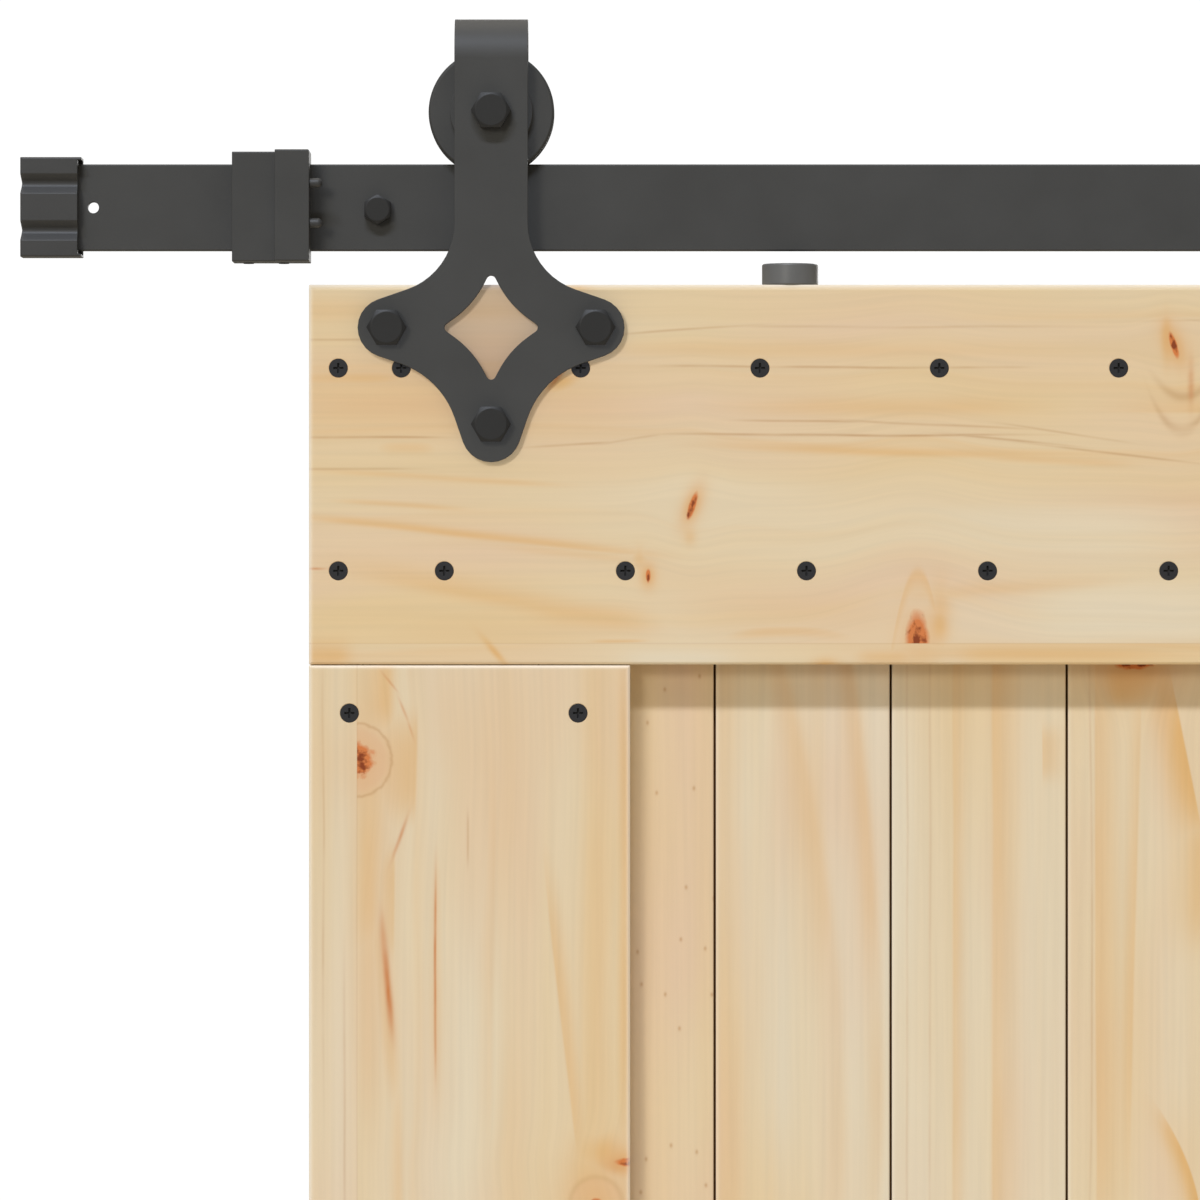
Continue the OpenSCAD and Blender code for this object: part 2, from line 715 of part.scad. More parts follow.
// Boards of the door, with bevels on the front edges only
module frame_board(x0, x1, z0, z1, upper_bevel) {
    b = frame_bevel;
    u = upper_bevel;
    intersection() {
        translate([0, 0, z0]) linear_extrude(z1 - z0)
            polygon([[x0 + b, door_front], [x1 - b, door_front], [x1, door_front + b],
                     [x1, slat_front], [x0, slat_front], [x0, door_front + b]]);
        along_x(x0, x1 - x0)
            polygon([[door_front, z0 + b], [door_front + b, z0], [slat_front, z0],
                     [slat_front, z1], [door_front + u, z1], [door_front, z1 - u]]);
    }
}
module header() {
    color(pine) difference() {
        frame_board(door_left, door_right, door_top - header_h, door_top, top_bevel);
        screw_holes(header_points);
        bolt_holes(bolt_points);
        disc_screw_holes(disc_xs);
    }
}
module bottom_rail() {
    color(pine) difference() {
        frame_board(door_left, door_right, door_bottom, door_bottom + header_h, frame_bevel);
        screw_holes(bottom_points);
    }
}
module stile(x, points) {
    color(pine) difference() {
        frame_board(x, x + stile_w, stile_bottom, stile_top, frame_bevel);
        screw_holes(points);
    }
}

// Tongue and groove slats, full height behind the frame boards
module slat(i) {
    first = i == 1;
    last = i == slat_count;
    x0 = door_left + slat_edges[i - 1] + (first ? 0 : slat_gap / 2);
    x1 = door_left + slat_edges[i] - (last ? 0 : slat_gap / 2);
    mid = (slat_front + door_back) / 2;
    groove_t = tongue_t + 2 * tongue_room;
    groove_len = tongue_len - slat_gap + tongue_room;
    b = slat_bevel;
    near = tongue_len + sleeve_d;
    color(pine) difference() {
        translate([0, 0, door_bottom]) linear_extrude(door_h) difference() {
            union() {
                polygon([[x0 + b, slat_front], [x1 - b, slat_front], [x1, slat_front + b],
                         [x1, door_back], [x0, door_back], [x0, slat_front + b]]);
                if (!last)
                    translate([x1 - over, mid - tongue_t / 2])
                        square([tongue_len + over, tongue_t]);
            }
            if (!first)
                translate([x0 - over, mid - groove_t / 2])
                    square([groove_len + over, groove_t]);
        }
        screw_holes([for (p = all_points) if (p[0] > x0 - near && p[0] < x1 + near) p]);
        bolt_holes([for (p = bolt_points) if (p[0] > x0 - near && p[0] < x1 + near) p]);
        disc_screw_holes([for (x = disc_xs) if (x > x0 - near && x < x1 + near) x]);
    }
}
module screw_set(points) {
    color(screw_black)
        for (p = points)
            to_wall(p[0], door_front, p[1]) wood_screw(screw_len);
}

// Discs that keep the wheels from jumping off the rail
module anti_jump_disc(x) {
    r = disc_d / 2;
    b = disc_bevel;
    color(nylon_grey) difference() {
        translate([x, rail_mid, door_top]) rotate_extrude()
            polygon([[0, 0], [r - b, 0], [r, b], [r, disc_h - b], [r - b, disc_h], [0, disc_h]]);
        disc_screw_holes([x]);
    }
}
module anti_jump_screws() {
    color(screw_black)
        for (x = disc_xs)
            translate([x, rail_mid, door_top + disc_h]) rotate([180, 0, 0])
                wood_screw(disc_h + disc_screw_bite);
}

// Star plate of the hanger, in X and Z from its middle
function star_corners() =
    let (half = strap_w / 2,
         slope = tan(arm_taper),
         tip = arm_reach + arm_r / sin(arm_taper),
         low_tip = low_arm_reach + arm_r / sin(arm_taper),
         neck = (tip - half) * slope,
         crotch_x = slope * (low_tip - tip * slope) / (1 - slope * slope),
         crotch_z = slope * (crotch_x - tip))
    [[half, bend_z - plate_z, 0], [half, neck, neck_r], [tip, 0, arm_r],
     [crotch_x, crotch_z, crotch_r], [0, -low_tip, arm_r], [-crotch_x, crotch_z, crotch_r],
     [-tip, 0, arm_r], [-half, neck, neck_r], [-half, bend_z - plate_z, 0]];
function diamond_corners() =
    let (side = unit([diamond_h, diamond_w]),
         mid = [diamond_w, diamond_h] / 2 - diamond_waist * side)
    [[diamond_w, 0, diamond_tip_r], [mid[0], -mid[1], diamond_side_r],
     [0, -diamond_h, diamond_tip_r], [-mid[0], -mid[1], diamond_side_r],
     [-diamond_w, 0, diamond_tip_r], [-mid[0], mid[1], diamond_side_r],
     [0, diamond_h, diamond_tip_r], [mid[0], mid[1], diamond_side_r]];

// Hanger bent from one strap: star plate, front leg, bend over the wheel and rear leg
module hanger(x) {
    half = strap_w / 2;
    tail_z = wheel_z - tail_drop;
    color(steel_black) difference() {
        union() {
            to_room(x, door_front, plate_z) linear_extrude(strap_t) difference() {
                polygon(rounded_outline(star_corners()));
                polygon(rounded_outline(diamond_corners()));
                for (p = [[-side_bolt_out, 0], [side_bolt_out, 0], [0, -low_bolt_drop]])
                    translate(p) circle(r = bolt_d / 2 + bolt_play);
            }
            along_x(x - half, strap_w) translate([rail_mid, bend_z]) intersection() {
                difference() {
                    circle(r = bend_r);
                    circle(r = bend_r - strap_t);
                }
                translate([-bend_r - over, 0]) square([2 * (bend_r + over), bend_r + over]);
            }
            to_room(x, rear_leg_back, 0) linear_extrude(strap_t)
                polygon(rounded_outline([[half, bend_z, 0], [half, tail_z, tail_r],
                                         [-half, tail_z, tail_r], [-half, bend_z, 0]]));
        }
        to_wall(x, strap_face - over, wheel_z)
            cylinder(r = bolt_d / 2 + bolt_play, h = 2 * (bend_r + over));
    }
}
module hanger_bolts() {
    color(bolt_black)
        for (p = bolt_points) {
            to_room(p[0], strap_face, p[1]) hex_head(bolt_af, bolt_head_h);
            to_wall(p[0], strap_face, p[1]) cylinder(d = bolt_d, h = bolt_len);
        }
}
module sleeve_nuts() {
    bore_r = bolt_d / 2 + thread_play;
    barrel_r = sleeve_d / 2;
    bore_end = sleeve_len - sleeve_end;
    color(bolt_black)
        for (p = bolt_points)
            to_wall(p[0], door_back - sleeve_len, p[1]) difference() {
                rotate_extrude()
                    polygon([[bore_r, 0], [barrel_r, 0], [barrel_r, sleeve_len],
                             [sleeve_flange_d / 2, sleeve_len],
                             [sleeve_flange_d / 2, sleeve_len + sleeve_flange_t],
                             [0, sleeve_len + sleeve_flange_t], [0, bore_end], [bore_r, bore_end]]);
                translate([0, 0, sleeve_len])
                    cylinder(r = sleeve_af / sqrt(3), h = sleeve_flange_t + over, $fn = 6);
            }
}

// Axle: bolt, nut and the bushes that hold the bearing's inner ring between the legs
module axle_bolts() {
    color(bolt_black)
        for (x = hanger_xs) {
            to_room(x, strap_face, wheel_z) hex_head(bolt_af, bolt_head_h);
            to_wall(x, strap_face, wheel_z) cylinder(d = bolt_d, h = axle_len);
        }
}
module axle_nuts() {
    color(bolt_black)
        for (x = hanger_xs)
            to_wall(x, rear_leg_back, wheel_z) difference() {
                hex_head(bolt_af, nut_h);
                translate([0, 0, -over])
                    cylinder(r = bolt_d / 2 + thread_play, h = nut_h + 2 * over);
            }
}
module axle_bushes() {
    length = (strap_gap - bearing_w) / 2;
    color(bright_steel)
        for (x = hanger_xs, y = [door_front, rail_mid + bearing_half])
            to_wall(x, y, wheel_z) difference() {
                cylinder(d = bush_d, h = length);
                translate([0, 0, -over])
                    cylinder(r = bolt_d / 2 + bush_play, h = length + 2 * over);
            }
}
module bearing_inner(x) {
    color(bright_steel) to_room(x, rail_mid, wheel_z) rotate_extrude()
        polygon([[axle_hole_r, -bearing_half], [inner_ring_r, -bearing_half],
                 [inner_ring_r, bearing_half], [axle_hole_r, bearing_half]]);
}
module bearing_outer(x) {
    outer = bearing_d / 2;
    race = outer - race_t;
    lip = inner_ring_r + shield_play;
    face = bearing_half - shield_in;
    inside = face - shield_t;
    color(bright_steel) to_room(x, rail_mid, wheel_z) rotate_extrude()
        polygon([[outer, -bearing_half], [outer, bearing_half], [race, bearing_half], [race, face],
                 [lip, face], [lip, inside], [race, inside], [race, -inside], [lip, -inside],
                 [lip, -face], [race, -face], [race, -bearing_half]]);
}

// Grooved wheel that runs on the rail's top edge
module wheel(x) {
    shoulder_r = seat_r - seat_shoulder;
    mouth = groove_half + groove_flare;
    b = flange_bevel;
    color(steel_black) to_room(x, rail_mid, wheel_z) rotate_extrude()
        polygon([[shoulder_r, bearing_half], [shoulder_r, hub_half], [hub_r, hub_half],
                 [hub_r, rim_half], [flange_r - b, rim_half], [flange_r, rim_half - b],
                 [flange_r, mouth], [tread_r, groove_half], [tread_r, -groove_half],
                 [flange_r, -mouth], [flange_r, b - rim_half], [flange_r - b, -rim_half],
                 [hub_r, -rim_half], [hub_r, -hub_half], [seat_r, -hub_half],
                 [seat_r, -clip_back - clip_play], [clip_r, -clip_back - clip_play],
                 [clip_r, -bearing_half], [seat_r, -bearing_half], [seat_r, bearing_half]]);
}
module retaining_ring(x) {
    outer = clip_r - clip_play;
    color(bolt_black) to_room(x, rail_mid, wheel_z) difference() {
        rotate_extrude()
            polygon([[outer - clip_w, -clip_back], [outer, -clip_back],
                     [outer, -clip_front], [outer - clip_w, -clip_front]]);
        translate([-clip_gap / 2, -clip_r - over, -clip_back - over])
            cube([clip_gap, clip_r + over, clip_t + 2 * over]);
    }
}

// Folded guide on the floor that keeps the door from swinging
module floor_guide() {
    outer = guide_inner + guide_t;
    top = door_bottom + guide_cheek;
    sheet_top = floor_z + guide_t;
    fold_out = guide_fold_r + guide_t;
    color(steel_black) difference() {
        along_x(guide_x - guide_len / 2, guide_len)
            translate([guide_mid, 0]) polygon(rounded_outline([
                [-outer, floor_z, fold_out], [outer, floor_z, fold_out],
                [outer, top, 0], [guide_inner, top, 0],
                [guide_inner, sheet_top, guide_fold_r], [-guide_inner, sheet_top, guide_fold_r],
                [-guide_inner, top, 0], [-outer, top, 0]]));
        for (side = [-1, 1])
            translate([guide_x + side * guide_hole_pitch / 2, guide_mid, floor_z]) {
                translate([0, 0, -over]) cylinder(d = guide_hole_d, h = guide_t + 2 * over);
                translate([0, 0, guide_t - (guide_sink_d - guide_hole_d) / 2])
                    cylinder(d1 = guide_hole_d, d2 = guide_sink_d,
                             h = (guide_sink_d - guide_hole_d) / 2);
            }
    }
}
module floor_guide_pads() {
    near = guide_inner - pad_t;
    half = pad_len / 2;
    b = pad_bevel;
    color(nylon_grey)
        for (side = [0, 1])
            translate([guide_x, guide_mid, door_bottom + guide_cheek - pad_h]) mirror([0, side, 0])
                linear_extrude(pad_h)
                    polygon([[-half, guide_inner], [half, guide_inner], [half, near + b],
                             [half - b, near], [b - half, near], [-half, near + b]]);
}

rail();
end_cap(false);  // end_cap_left
end_cap(true);  // end_cap_right
door_stop(false);  // stop_left
door_stop(true);  // stop_right
stop_bumpers(false);  // stop_bumpers_left
stop_bumpers(true);  // stop_bumpers_right
stop_set_screws();
wall_bolts();
for (i = [1:wall_bolt_count])
    wall_spacer(i);
header();
bottom_rail();
stile(door_left, left_stile_points);  // stile_left
stile(door_right - stile_w, right_stile_points);  // stile_right
for (i = [1:slat_count])
    slat(i);
screw_set(header_points);  // header_screws
screw_set(bottom_points);  // bottom_rail_screws
screw_set(concat(left_stile_points, right_stile_points));  // stile_screws
anti_jump_disc(disc_xs[0]);  // anti_jump_disc_left
anti_jump_disc(disc_xs[1]);  // anti_jump_disc_right
anti_jump_screws();
hanger(hanger_xs[0]);  // hanger_left
hanger(hanger_xs[1]);  // hanger_right
hanger_bolts();
sleeve_nuts();
axle_bolts();
axle_nuts();
axle_bushes();
bearing_inner(hanger_xs[0]);  // bearing_inner_left
bearing_inner(hanger_xs[1]);  // bearing_inner_right
bearing_outer(hanger_xs[0]);  // bearing_outer_left
bearing_outer(hanger_xs[1]);  // bearing_outer_right
wheel(hanger_xs[0]);  // wheel_left
wheel(hanger_xs[1]);  // wheel_right
retaining_ring(hanger_xs[0]);  // retaining_ring_left
retaining_ring(hanger_xs[1]);  // retaining_ring_right
floor_guide();
floor_guide_pads();
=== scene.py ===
"""Sliding barn door: pine boards, black rail and hangers, photographed straight on against white."""
import json
import math
import random

import bmesh
import bpy
from mathutils import Matrix, Vector

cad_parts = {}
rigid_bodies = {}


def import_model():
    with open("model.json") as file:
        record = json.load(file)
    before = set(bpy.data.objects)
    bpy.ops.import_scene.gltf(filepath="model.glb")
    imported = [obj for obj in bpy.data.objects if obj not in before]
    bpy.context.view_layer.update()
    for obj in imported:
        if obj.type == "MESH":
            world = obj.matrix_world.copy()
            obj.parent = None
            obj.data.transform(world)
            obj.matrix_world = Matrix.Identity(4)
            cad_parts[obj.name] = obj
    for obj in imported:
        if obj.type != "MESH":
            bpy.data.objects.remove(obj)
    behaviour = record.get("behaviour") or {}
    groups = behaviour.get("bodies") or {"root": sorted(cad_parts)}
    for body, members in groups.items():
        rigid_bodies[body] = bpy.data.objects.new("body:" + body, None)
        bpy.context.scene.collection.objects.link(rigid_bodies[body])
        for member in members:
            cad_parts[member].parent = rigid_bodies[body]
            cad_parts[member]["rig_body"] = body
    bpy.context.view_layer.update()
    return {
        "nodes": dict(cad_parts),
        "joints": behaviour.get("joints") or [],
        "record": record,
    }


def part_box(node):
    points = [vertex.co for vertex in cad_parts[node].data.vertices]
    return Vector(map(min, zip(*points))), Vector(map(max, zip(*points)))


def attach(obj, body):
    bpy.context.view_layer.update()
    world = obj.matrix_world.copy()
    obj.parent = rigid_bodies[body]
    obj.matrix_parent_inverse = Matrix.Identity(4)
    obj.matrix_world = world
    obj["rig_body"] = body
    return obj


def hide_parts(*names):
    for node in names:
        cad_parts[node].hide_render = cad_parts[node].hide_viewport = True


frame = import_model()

MM = 0.001

# Places in metres: the door's left and top edges, the faces of its frame boards and slats, and the floor
DOOR_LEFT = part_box("header")[0].x
DOOR_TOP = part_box("header")[1].z
FRAME_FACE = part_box("header")[0].y
SLAT_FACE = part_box("slat_4")[0].y
FLOOR_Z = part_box("floor_guide")[0].z


def srgb(red, green, blue):
    """A colour as seen on a screen, 0 to 255, as linear values."""
    def linear(level):
        return level / 255 / 12.92 if level <= 10 else ((level / 255 + 0.055) / 1.055) ** 2.4

    return (linear(red), linear(green), linear(blue), 1.0)


# Node helpers

def feed(tree, socket, value):
    """Links a socket to another, or gives it a plain value."""
    if isinstance(value, bpy.types.NodeSocket):
        tree.links.new(value, socket)
    else:
        socket.default_value = value


def calc(tree, operation, *values, clamp=False):
    node = tree.nodes.new("ShaderNodeMath")
    node.operation = operation
    node.use_clamp = clamp
    for socket, value in zip(node.inputs, values):
        feed(tree, socket, value)
    return node.outputs[0]


def point(tree, x, y, z):
    node = tree.nodes.new("ShaderNodeCombineXYZ")
    for socket, value in zip(node.inputs, (x, y, z)):
        feed(tree, socket, value)
    return node.outputs[0]


def stretched(tree, along, across, depth, pulls):
    """A point whose three directions are scaled, so that a pattern is drawn out along the grain."""
    values = zip((along, across, depth), pulls)
    return point(tree, *[calc(tree, "MULTIPLY", value, pull) for value, pull in values])


def cloud(tree, vector, seed=0.0, scale=1.0, detail=2.0):
    node = tree.nodes.new("ShaderNodeTexNoise")
    node.noise_dimensions = "4D"
    for name, value in (("Vector", vector), ("W", seed), ("Scale", scale), ("Detail", detail)):
        feed(tree, node.inputs[name], value)
    return node.outputs["Fac"]


def ramp(tree, value, stops):
    """Colours at positions; a plain number stands for a grey."""
    node = tree.nodes.new("ShaderNodeValToRGB")
    band = node.color_ramp
    while len(band.elements) < len(stops):
        band.elements.new(0.5)
    for element, (position, colour) in zip(band.elements, stops):
        element.position = position
        element.color = colour if isinstance(colour, tuple) else (colour, colour, colour, 1.0)
    feed(tree, node.inputs["Fac"], value)
    return node.outputs["Color"]


def mix(tree, share, first, second, blend="MIX"):
    node = tree.nodes.new("ShaderNodeMix")
    node.data_type = "RGBA"
    node.blend_type = blend
    for socket, value in zip((node.inputs[0], node.inputs[6], node.inputs[7]), (share, first, second)):
        feed(tree, socket, value)
    return node.outputs[2]


def bell(tree, distance, width):
    """1 in the middle, falling softly to 0 past the width."""
    ratio = calc(tree, "DIVIDE", distance, width)
    return calc(tree, "EXPONENT", calc(tree, "MULTIPLY", calc(tree, "MULTIPLY", ratio, ratio), -1.0))


def length(tree, u, v):
    """How far a place given by two values is from zero."""
    squares = calc(tree, "ADD", calc(tree, "MULTIPLY", u, u), calc(tree, "MULTIPLY", v, v))
    return calc(tree, "SQRT", squares)


def between(tree, value, low, high):
    """1 inside a range, 0 outside it."""
    above = calc(tree, "GREATER_THAN", value, low)
    return calc(tree, "MULTIPLY", above, calc(tree, "LESS_THAN", value, high))


def new_group(name, inputs, outputs):
    """A node group with its sockets; every input is a plain number, which each use gives."""
    tree = bpy.data.node_groups.new(name, "ShaderNodeTree")
    for label in inputs:
        tree.interface.new_socket(name=label, in_out="INPUT", socket_type="NodeSocketFloat")
    for label, kind in outputs.items():
        tree.interface.new_socket(name=label, in_out="OUTPUT", socket_type=kind)
    return tree, tree.nodes.new("NodeGroupInput").outputs, tree.nodes.new("NodeGroupOutput").inputs


def use_group(tree, group, **values):
    node = tree.nodes.new("ShaderNodeGroup")
    node.node_tree = group
    for label, value in values.items():
        feed(tree, node.inputs[label.replace("_", " ")], value)
    return node.outputs


# Shared effects

def make_knot_group():
    """Bends the grain round one knot, and adds its core, halo, ring line and the flesh inside that."""
    tree, given, result = new_group(
        "grain_round_knot",
        ["Along", "Across", "Ragged", "Bent", "Nearest", "Halos", "Rings", "Flesh", "Knot Along",
         "Knot Across", "Half Length", "Half Width", "Lean", "Rough", "Bend", "Reach", "Halo", "Glow",
         "Ring At", "Ring Width", "Ringed"],
        {"Bent": "NodeSocketFloat", "Nearest": "NodeSocketFloat", "Halos": "NodeSocketFloat",
         "Rings": "NodeSocketFloat", "Flesh": "NodeSocketFloat"})
    along = calc(tree, "SUBTRACT", given["Along"], given["Knot Along"])
    across = calc(tree, "SUBTRACT", given["Bent"], given["Knot Across"])
    bend = calc(tree, "POWER", given["Bend"], 2.0)
    push = calc(tree, "MULTIPLY", bell(tree, along, given["Reach"]), bend)
    square = calc(tree, "MULTIPLY", across, across)
    kept = calc(tree, "DIVIDE", square, calc(tree, "ADD", calc(tree, "ADD", square, push), 1e-9))
    feed(tree, result["Bent"], calc(tree, "MULTIPLY_ADD", across, kept, given["Knot Across"]))

    side = calc(tree, "SUBTRACT", given["Across"], given["Knot Across"])
    along = calc(tree, "SUBTRACT", along, calc(tree, "MULTIPLY", side, given["Lean"]))

    def radii(wider):
        u = calc(tree, "DIVIDE", along, calc(tree, "ADD", given["Half Length"], wider))
        v = calc(tree, "DIVIDE", side, calc(tree, "ADD", given["Half Width"], wider))
        return length(tree, u, v)

    even = radii(0.0)
    core = calc(tree, "MULTIPLY_ADD", given["Ragged"], given["Rough"], even)
    feed(tree, result["Nearest"], calc(tree, "MINIMUM", core, given["Nearest"]))
    halo = calc(tree, "MULTIPLY", bell(tree, radii(given["Halo"]), 1.1), given["Glow"])
    feed(tree, result["Halos"], calc(tree, "MAXIMUM", halo, given["Halos"]))
    uneven = calc(tree, "MULTIPLY_ADD", given["Ragged"], 0.24, even)
    inward = calc(tree, "SUBTRACT", given["Ring At"], uneven)
    ring = calc(tree, "MULTIPLY", bell(tree, inward, given["Ring Width"]), given["Ringed"])
    feed(tree, result["Rings"], calc(tree, "MAXIMUM", ring, given["Rings"]))
    flesh = calc(tree, "MULTIPLY", calc(tree, "MULTIPLY", inward, 2.0, clamp=True), given["Ringed"])
    feed(tree, result["Flesh"], calc(tree, "MAXIMUM", flesh, given["Flesh"]))
    return tree


def make_mark_group():
    """One band or line that follows the grain, with its own softness before and after its middle."""
    tree, given, result = new_group(
        "grain_mark",
        ["Along", "Across", "Marks", "Mark Along", "Mark Across", "Reach", "Before", "After", "Lean",
         "Bow", "Ends", "Strength"],
        {"Marks": "NodeSocketFloat"})
    along = calc(tree, "SUBTRACT", given["Along"], given["Mark Along"])
    middle = calc(tree, "MULTIPLY", along, calc(tree, "MULTIPLY_ADD", along, given["Bow"], given["Lean"]))
    off = calc(tree, "SUBTRACT", calc(tree, "SUBTRACT", given["Across"], given["Mark Across"]), middle)
    past = calc(tree, "GREATER_THAN", off, 0.0)
    wider = calc(tree, "SUBTRACT", given["After"], given["Before"])
    shape = bell(tree, off, calc(tree, "MULTIPLY_ADD", past, wider, given["Before"]))
    run = calc(tree, "ABSOLUTE", calc(tree, "DIVIDE", along, given["Reach"]))
    run = calc(tree, "POWER", run, given["Ends"])
    shape = calc(tree, "MULTIPLY", shape, calc(tree, "MULTIPLY", bell(tree, run, 1.0), given["Strength"]))
    feed(tree, result["Marks"], calc(tree, "MAXIMUM", given["Marks"], shape))
    return tree


PINE_PALE = srgb(228, 215, 189)
PINE_CREAM = srgb(228, 207, 171)
PINE_BLUSH = srgb(227, 198, 166)
PINE_HONEY = srgb(227, 197, 147)
PINE_AMBER = srgb(223, 174, 108)
LINE_BROWN = srgb(182, 130, 78)
RESIN_BROWN = srgb(202, 122, 62)
KNOT_GLOW = srgb(222, 170, 110)
KNOT_FLESH = srgb(222, 172, 136)
KNOT_RED = srgb(210, 114, 50)
KNOT_DARK = srgb(124, 48, 14)
# Painted highlight: the pale colour laid along the boards' arrises where the light catches them
ARRIS_HIGHLIGHT = srgb(253, 245, 230)
# Painted shade: how much darker the wood inside the hangers' cut-outs is made
PINE_PAINTED_SHADE = (0.78, 0.73, 0.75, 1.0)
# Painted shade: how much darker the insides of the slats' grooves are made
GROOVE_PAINTED_SHADE = (0.3, 0.17, 0.08, 1.0)

# How far the middle of a hanger's plate is below the door's top
PLATE_DROP = 20 * MM

# Painted shade on the wood inside a plate's cut-out, a darker diamond: half its width and height
PAINTED_SHADE_HALF_W = 33 * MM
PAINTED_SHADE_HALF_H = 40 * MM

# How far below its face the groove between two slats gets painted shade, and how far in from the door's
# edges
GROOVE_FROM = 1.2 * MM
GROOVE_INSET = 2 * MM

# Width of the painted highlight along a board's eased arris, and of the line where two strips are glued
ARRIS_HIGHLIGHT_WIDTH = 1.3 * MM
GLUE_WIDTH = 0.3 * MM

# Stands for a knot that is too far off to show
NO_KNOT = 50.0


def make_pine_group():
    """Growth rings cut by the board's face, with fibres, grain marks, honey patches, specks and knots."""
    tree, given, result = new_group(
        "planed_pine",
        ["Along", "Across", "Depth", "Bent", "Knot", "Halos", "Rings", "Flesh", "Honey Marks", "Pale Marks",
         "Line Marks", "Resin Marks", "Sanded", "Board", "Pith Across", "Pith Depth", "Ring", "Sway",
         "Figure", "Honey", "Blush", "Specks"],
        {"Colour": "NodeSocketColor", "Roughness": "NodeSocketFloat", "Height": "NodeSocketFloat"})
    along = given["Along"]
    depth = given["Depth"]
    board = given["Board"]

    def drawn_out(pull, squeeze, detail, shift=0.0):
        """A cloud drawn out along the grain, which bends round the knots."""
        places = stretched(tree, along, given["Bent"], depth, (pull, squeeze, squeeze))
        seed = calc(tree, "ADD", board, shift) if shift else board
        return cloud(tree, places, seed, detail=detail)

    sway = calc(tree, "SUBTRACT", drawn_out(3.1, 5.0, 1.5), 0.5)
    sway = calc(tree, "MULTIPLY", sway, given["Sway"])
    across = calc(tree, "SUBTRACT", calc(tree, "ADD", given["Bent"], sway), given["Pith Across"])
    lift = cloud(tree, stretched(tree, along, 0.0, 0.0, (1.9, 1.0, 1.0)),
                 calc(tree, "ADD", board, 7.3), detail=1.0)
    lift = calc(tree, "MULTIPLY", calc(tree, "SUBTRACT", lift, 0.5),
                calc(tree, "MULTIPLY", given["Sway"], 2.0))
    below = calc(tree, "ADD", calc(tree, "SUBTRACT", given["Pith Depth"], depth), lift)
    rings = calc(tree, "DIVIDE", length(tree, across, below), given["Ring"])
    uneven = cloud(tree, point(tree, calc(tree, "MULTIPLY", rings, 0.55), 0.0, 0.0), board, detail=0.0)
    rings = calc(tree, "ADD", rings, calc(tree, "MULTIPLY", uneven, 1.3))
    late = ramp(tree, calc(tree, "FRACT", rings),
                [(0.0, 0.12), (0.25, 0.06), (0.7, 0.5), (0.86, 0.9), (1.0, 0.12)])
    year = tree.nodes.new("ShaderNodeTexWhiteNoise")
    year.noise_dimensions = "2D"
    feed(tree, year.inputs["Vector"], point(tree, calc(tree, "FLOOR", rings), board, 0.0))
    patch = drawn_out(2.6, 9.0, 2.0, shift=3.1)
    strength = calc(tree, "MULTIPLY", calc(tree, "POWER", year.outputs["Value"], 1.6),
                    calc(tree, "MULTIPLY_ADD", patch, 2.0, -0.25))
    late = calc(tree, "MULTIPLY", late, calc(tree, "MULTIPLY", strength, given["Figure"]), clamp=True)

    warm = calc(tree, "ADD", patch, given["Honey"])
    colour = ramp(tree, warm, [(0.3, PINE_PALE), (0.5, PINE_CREAM), (0.72, PINE_HONEY)])
    blush = calc(tree, "MULTIPLY_ADD", drawn_out(7.0, 26.0, 1.0, shift=5.7), 2.6,
                 calc(tree, "ADD", given["Blush"], -1.1), clamp=True)
    colour = mix(tree, blush, colour, PINE_BLUSH)
    colour = mix(tree, given["Pale Marks"], colour, PINE_PALE)
    colour = mix(tree, late, colour, PINE_AMBER)
    faded = calc(tree, "MULTIPLY_ADD", drawn_out(11.0, 55.0, 1.5), 1.5, 0.15, clamp=True)
    colour = mix(tree, calc(tree, "MULTIPLY", given["Honey Marks"], faded), colour, PINE_AMBER)
    bands = calc(tree, "MULTIPLY_ADD", drawn_out(1.2, 75.0, 1.0), 1.2, -0.52, clamp=True)
    colour = mix(tree, bands, colour, PINE_HONEY)
    fibres = drawn_out(9.0, 420.0, 2.5)
    colour = mix(tree, 1.0, colour, ramp(tree, fibres, [(0.3, 0.955), (0.62, 1.0)]), "MULTIPLY")

    broken = calc(tree, "MULTIPLY_ADD", drawn_out(34.0, 160.0, 2.0), 2.2, -0.25, clamp=True)
    colour = mix(tree, calc(tree, "MULTIPLY", given["Line Marks"], broken), colour, LINE_BROWN)
    colour = mix(tree, calc(tree, "MULTIPLY", given["Resin Marks"], broken), colour, RESIN_BROWN)
    dots = tree.nodes.new("ShaderNodeTexVoronoi")
    dots.voronoi_dimensions = "2D"
    feed(tree, dots.inputs["Scale"], 1.0)
    feed(tree, dots.inputs["Vector"], stretched(tree, along, given["Bent"], 0.0, (42.0, 62.0, 1.0)))
    kept = tree.nodes.new("ShaderNodeSeparateColor")
    tree.links.new(dots.outputs["Color"], kept.inputs[0])
    dot = calc(tree, "MULTIPLY", bell(tree, dots.outputs["Distance"], 0.045),
               calc(tree, "GREATER_THAN", kept.outputs[0], 0.4))
    colour = mix(tree, calc(tree, "MULTIPLY", dot, given["Specks"]), colour, LINE_BROWN)

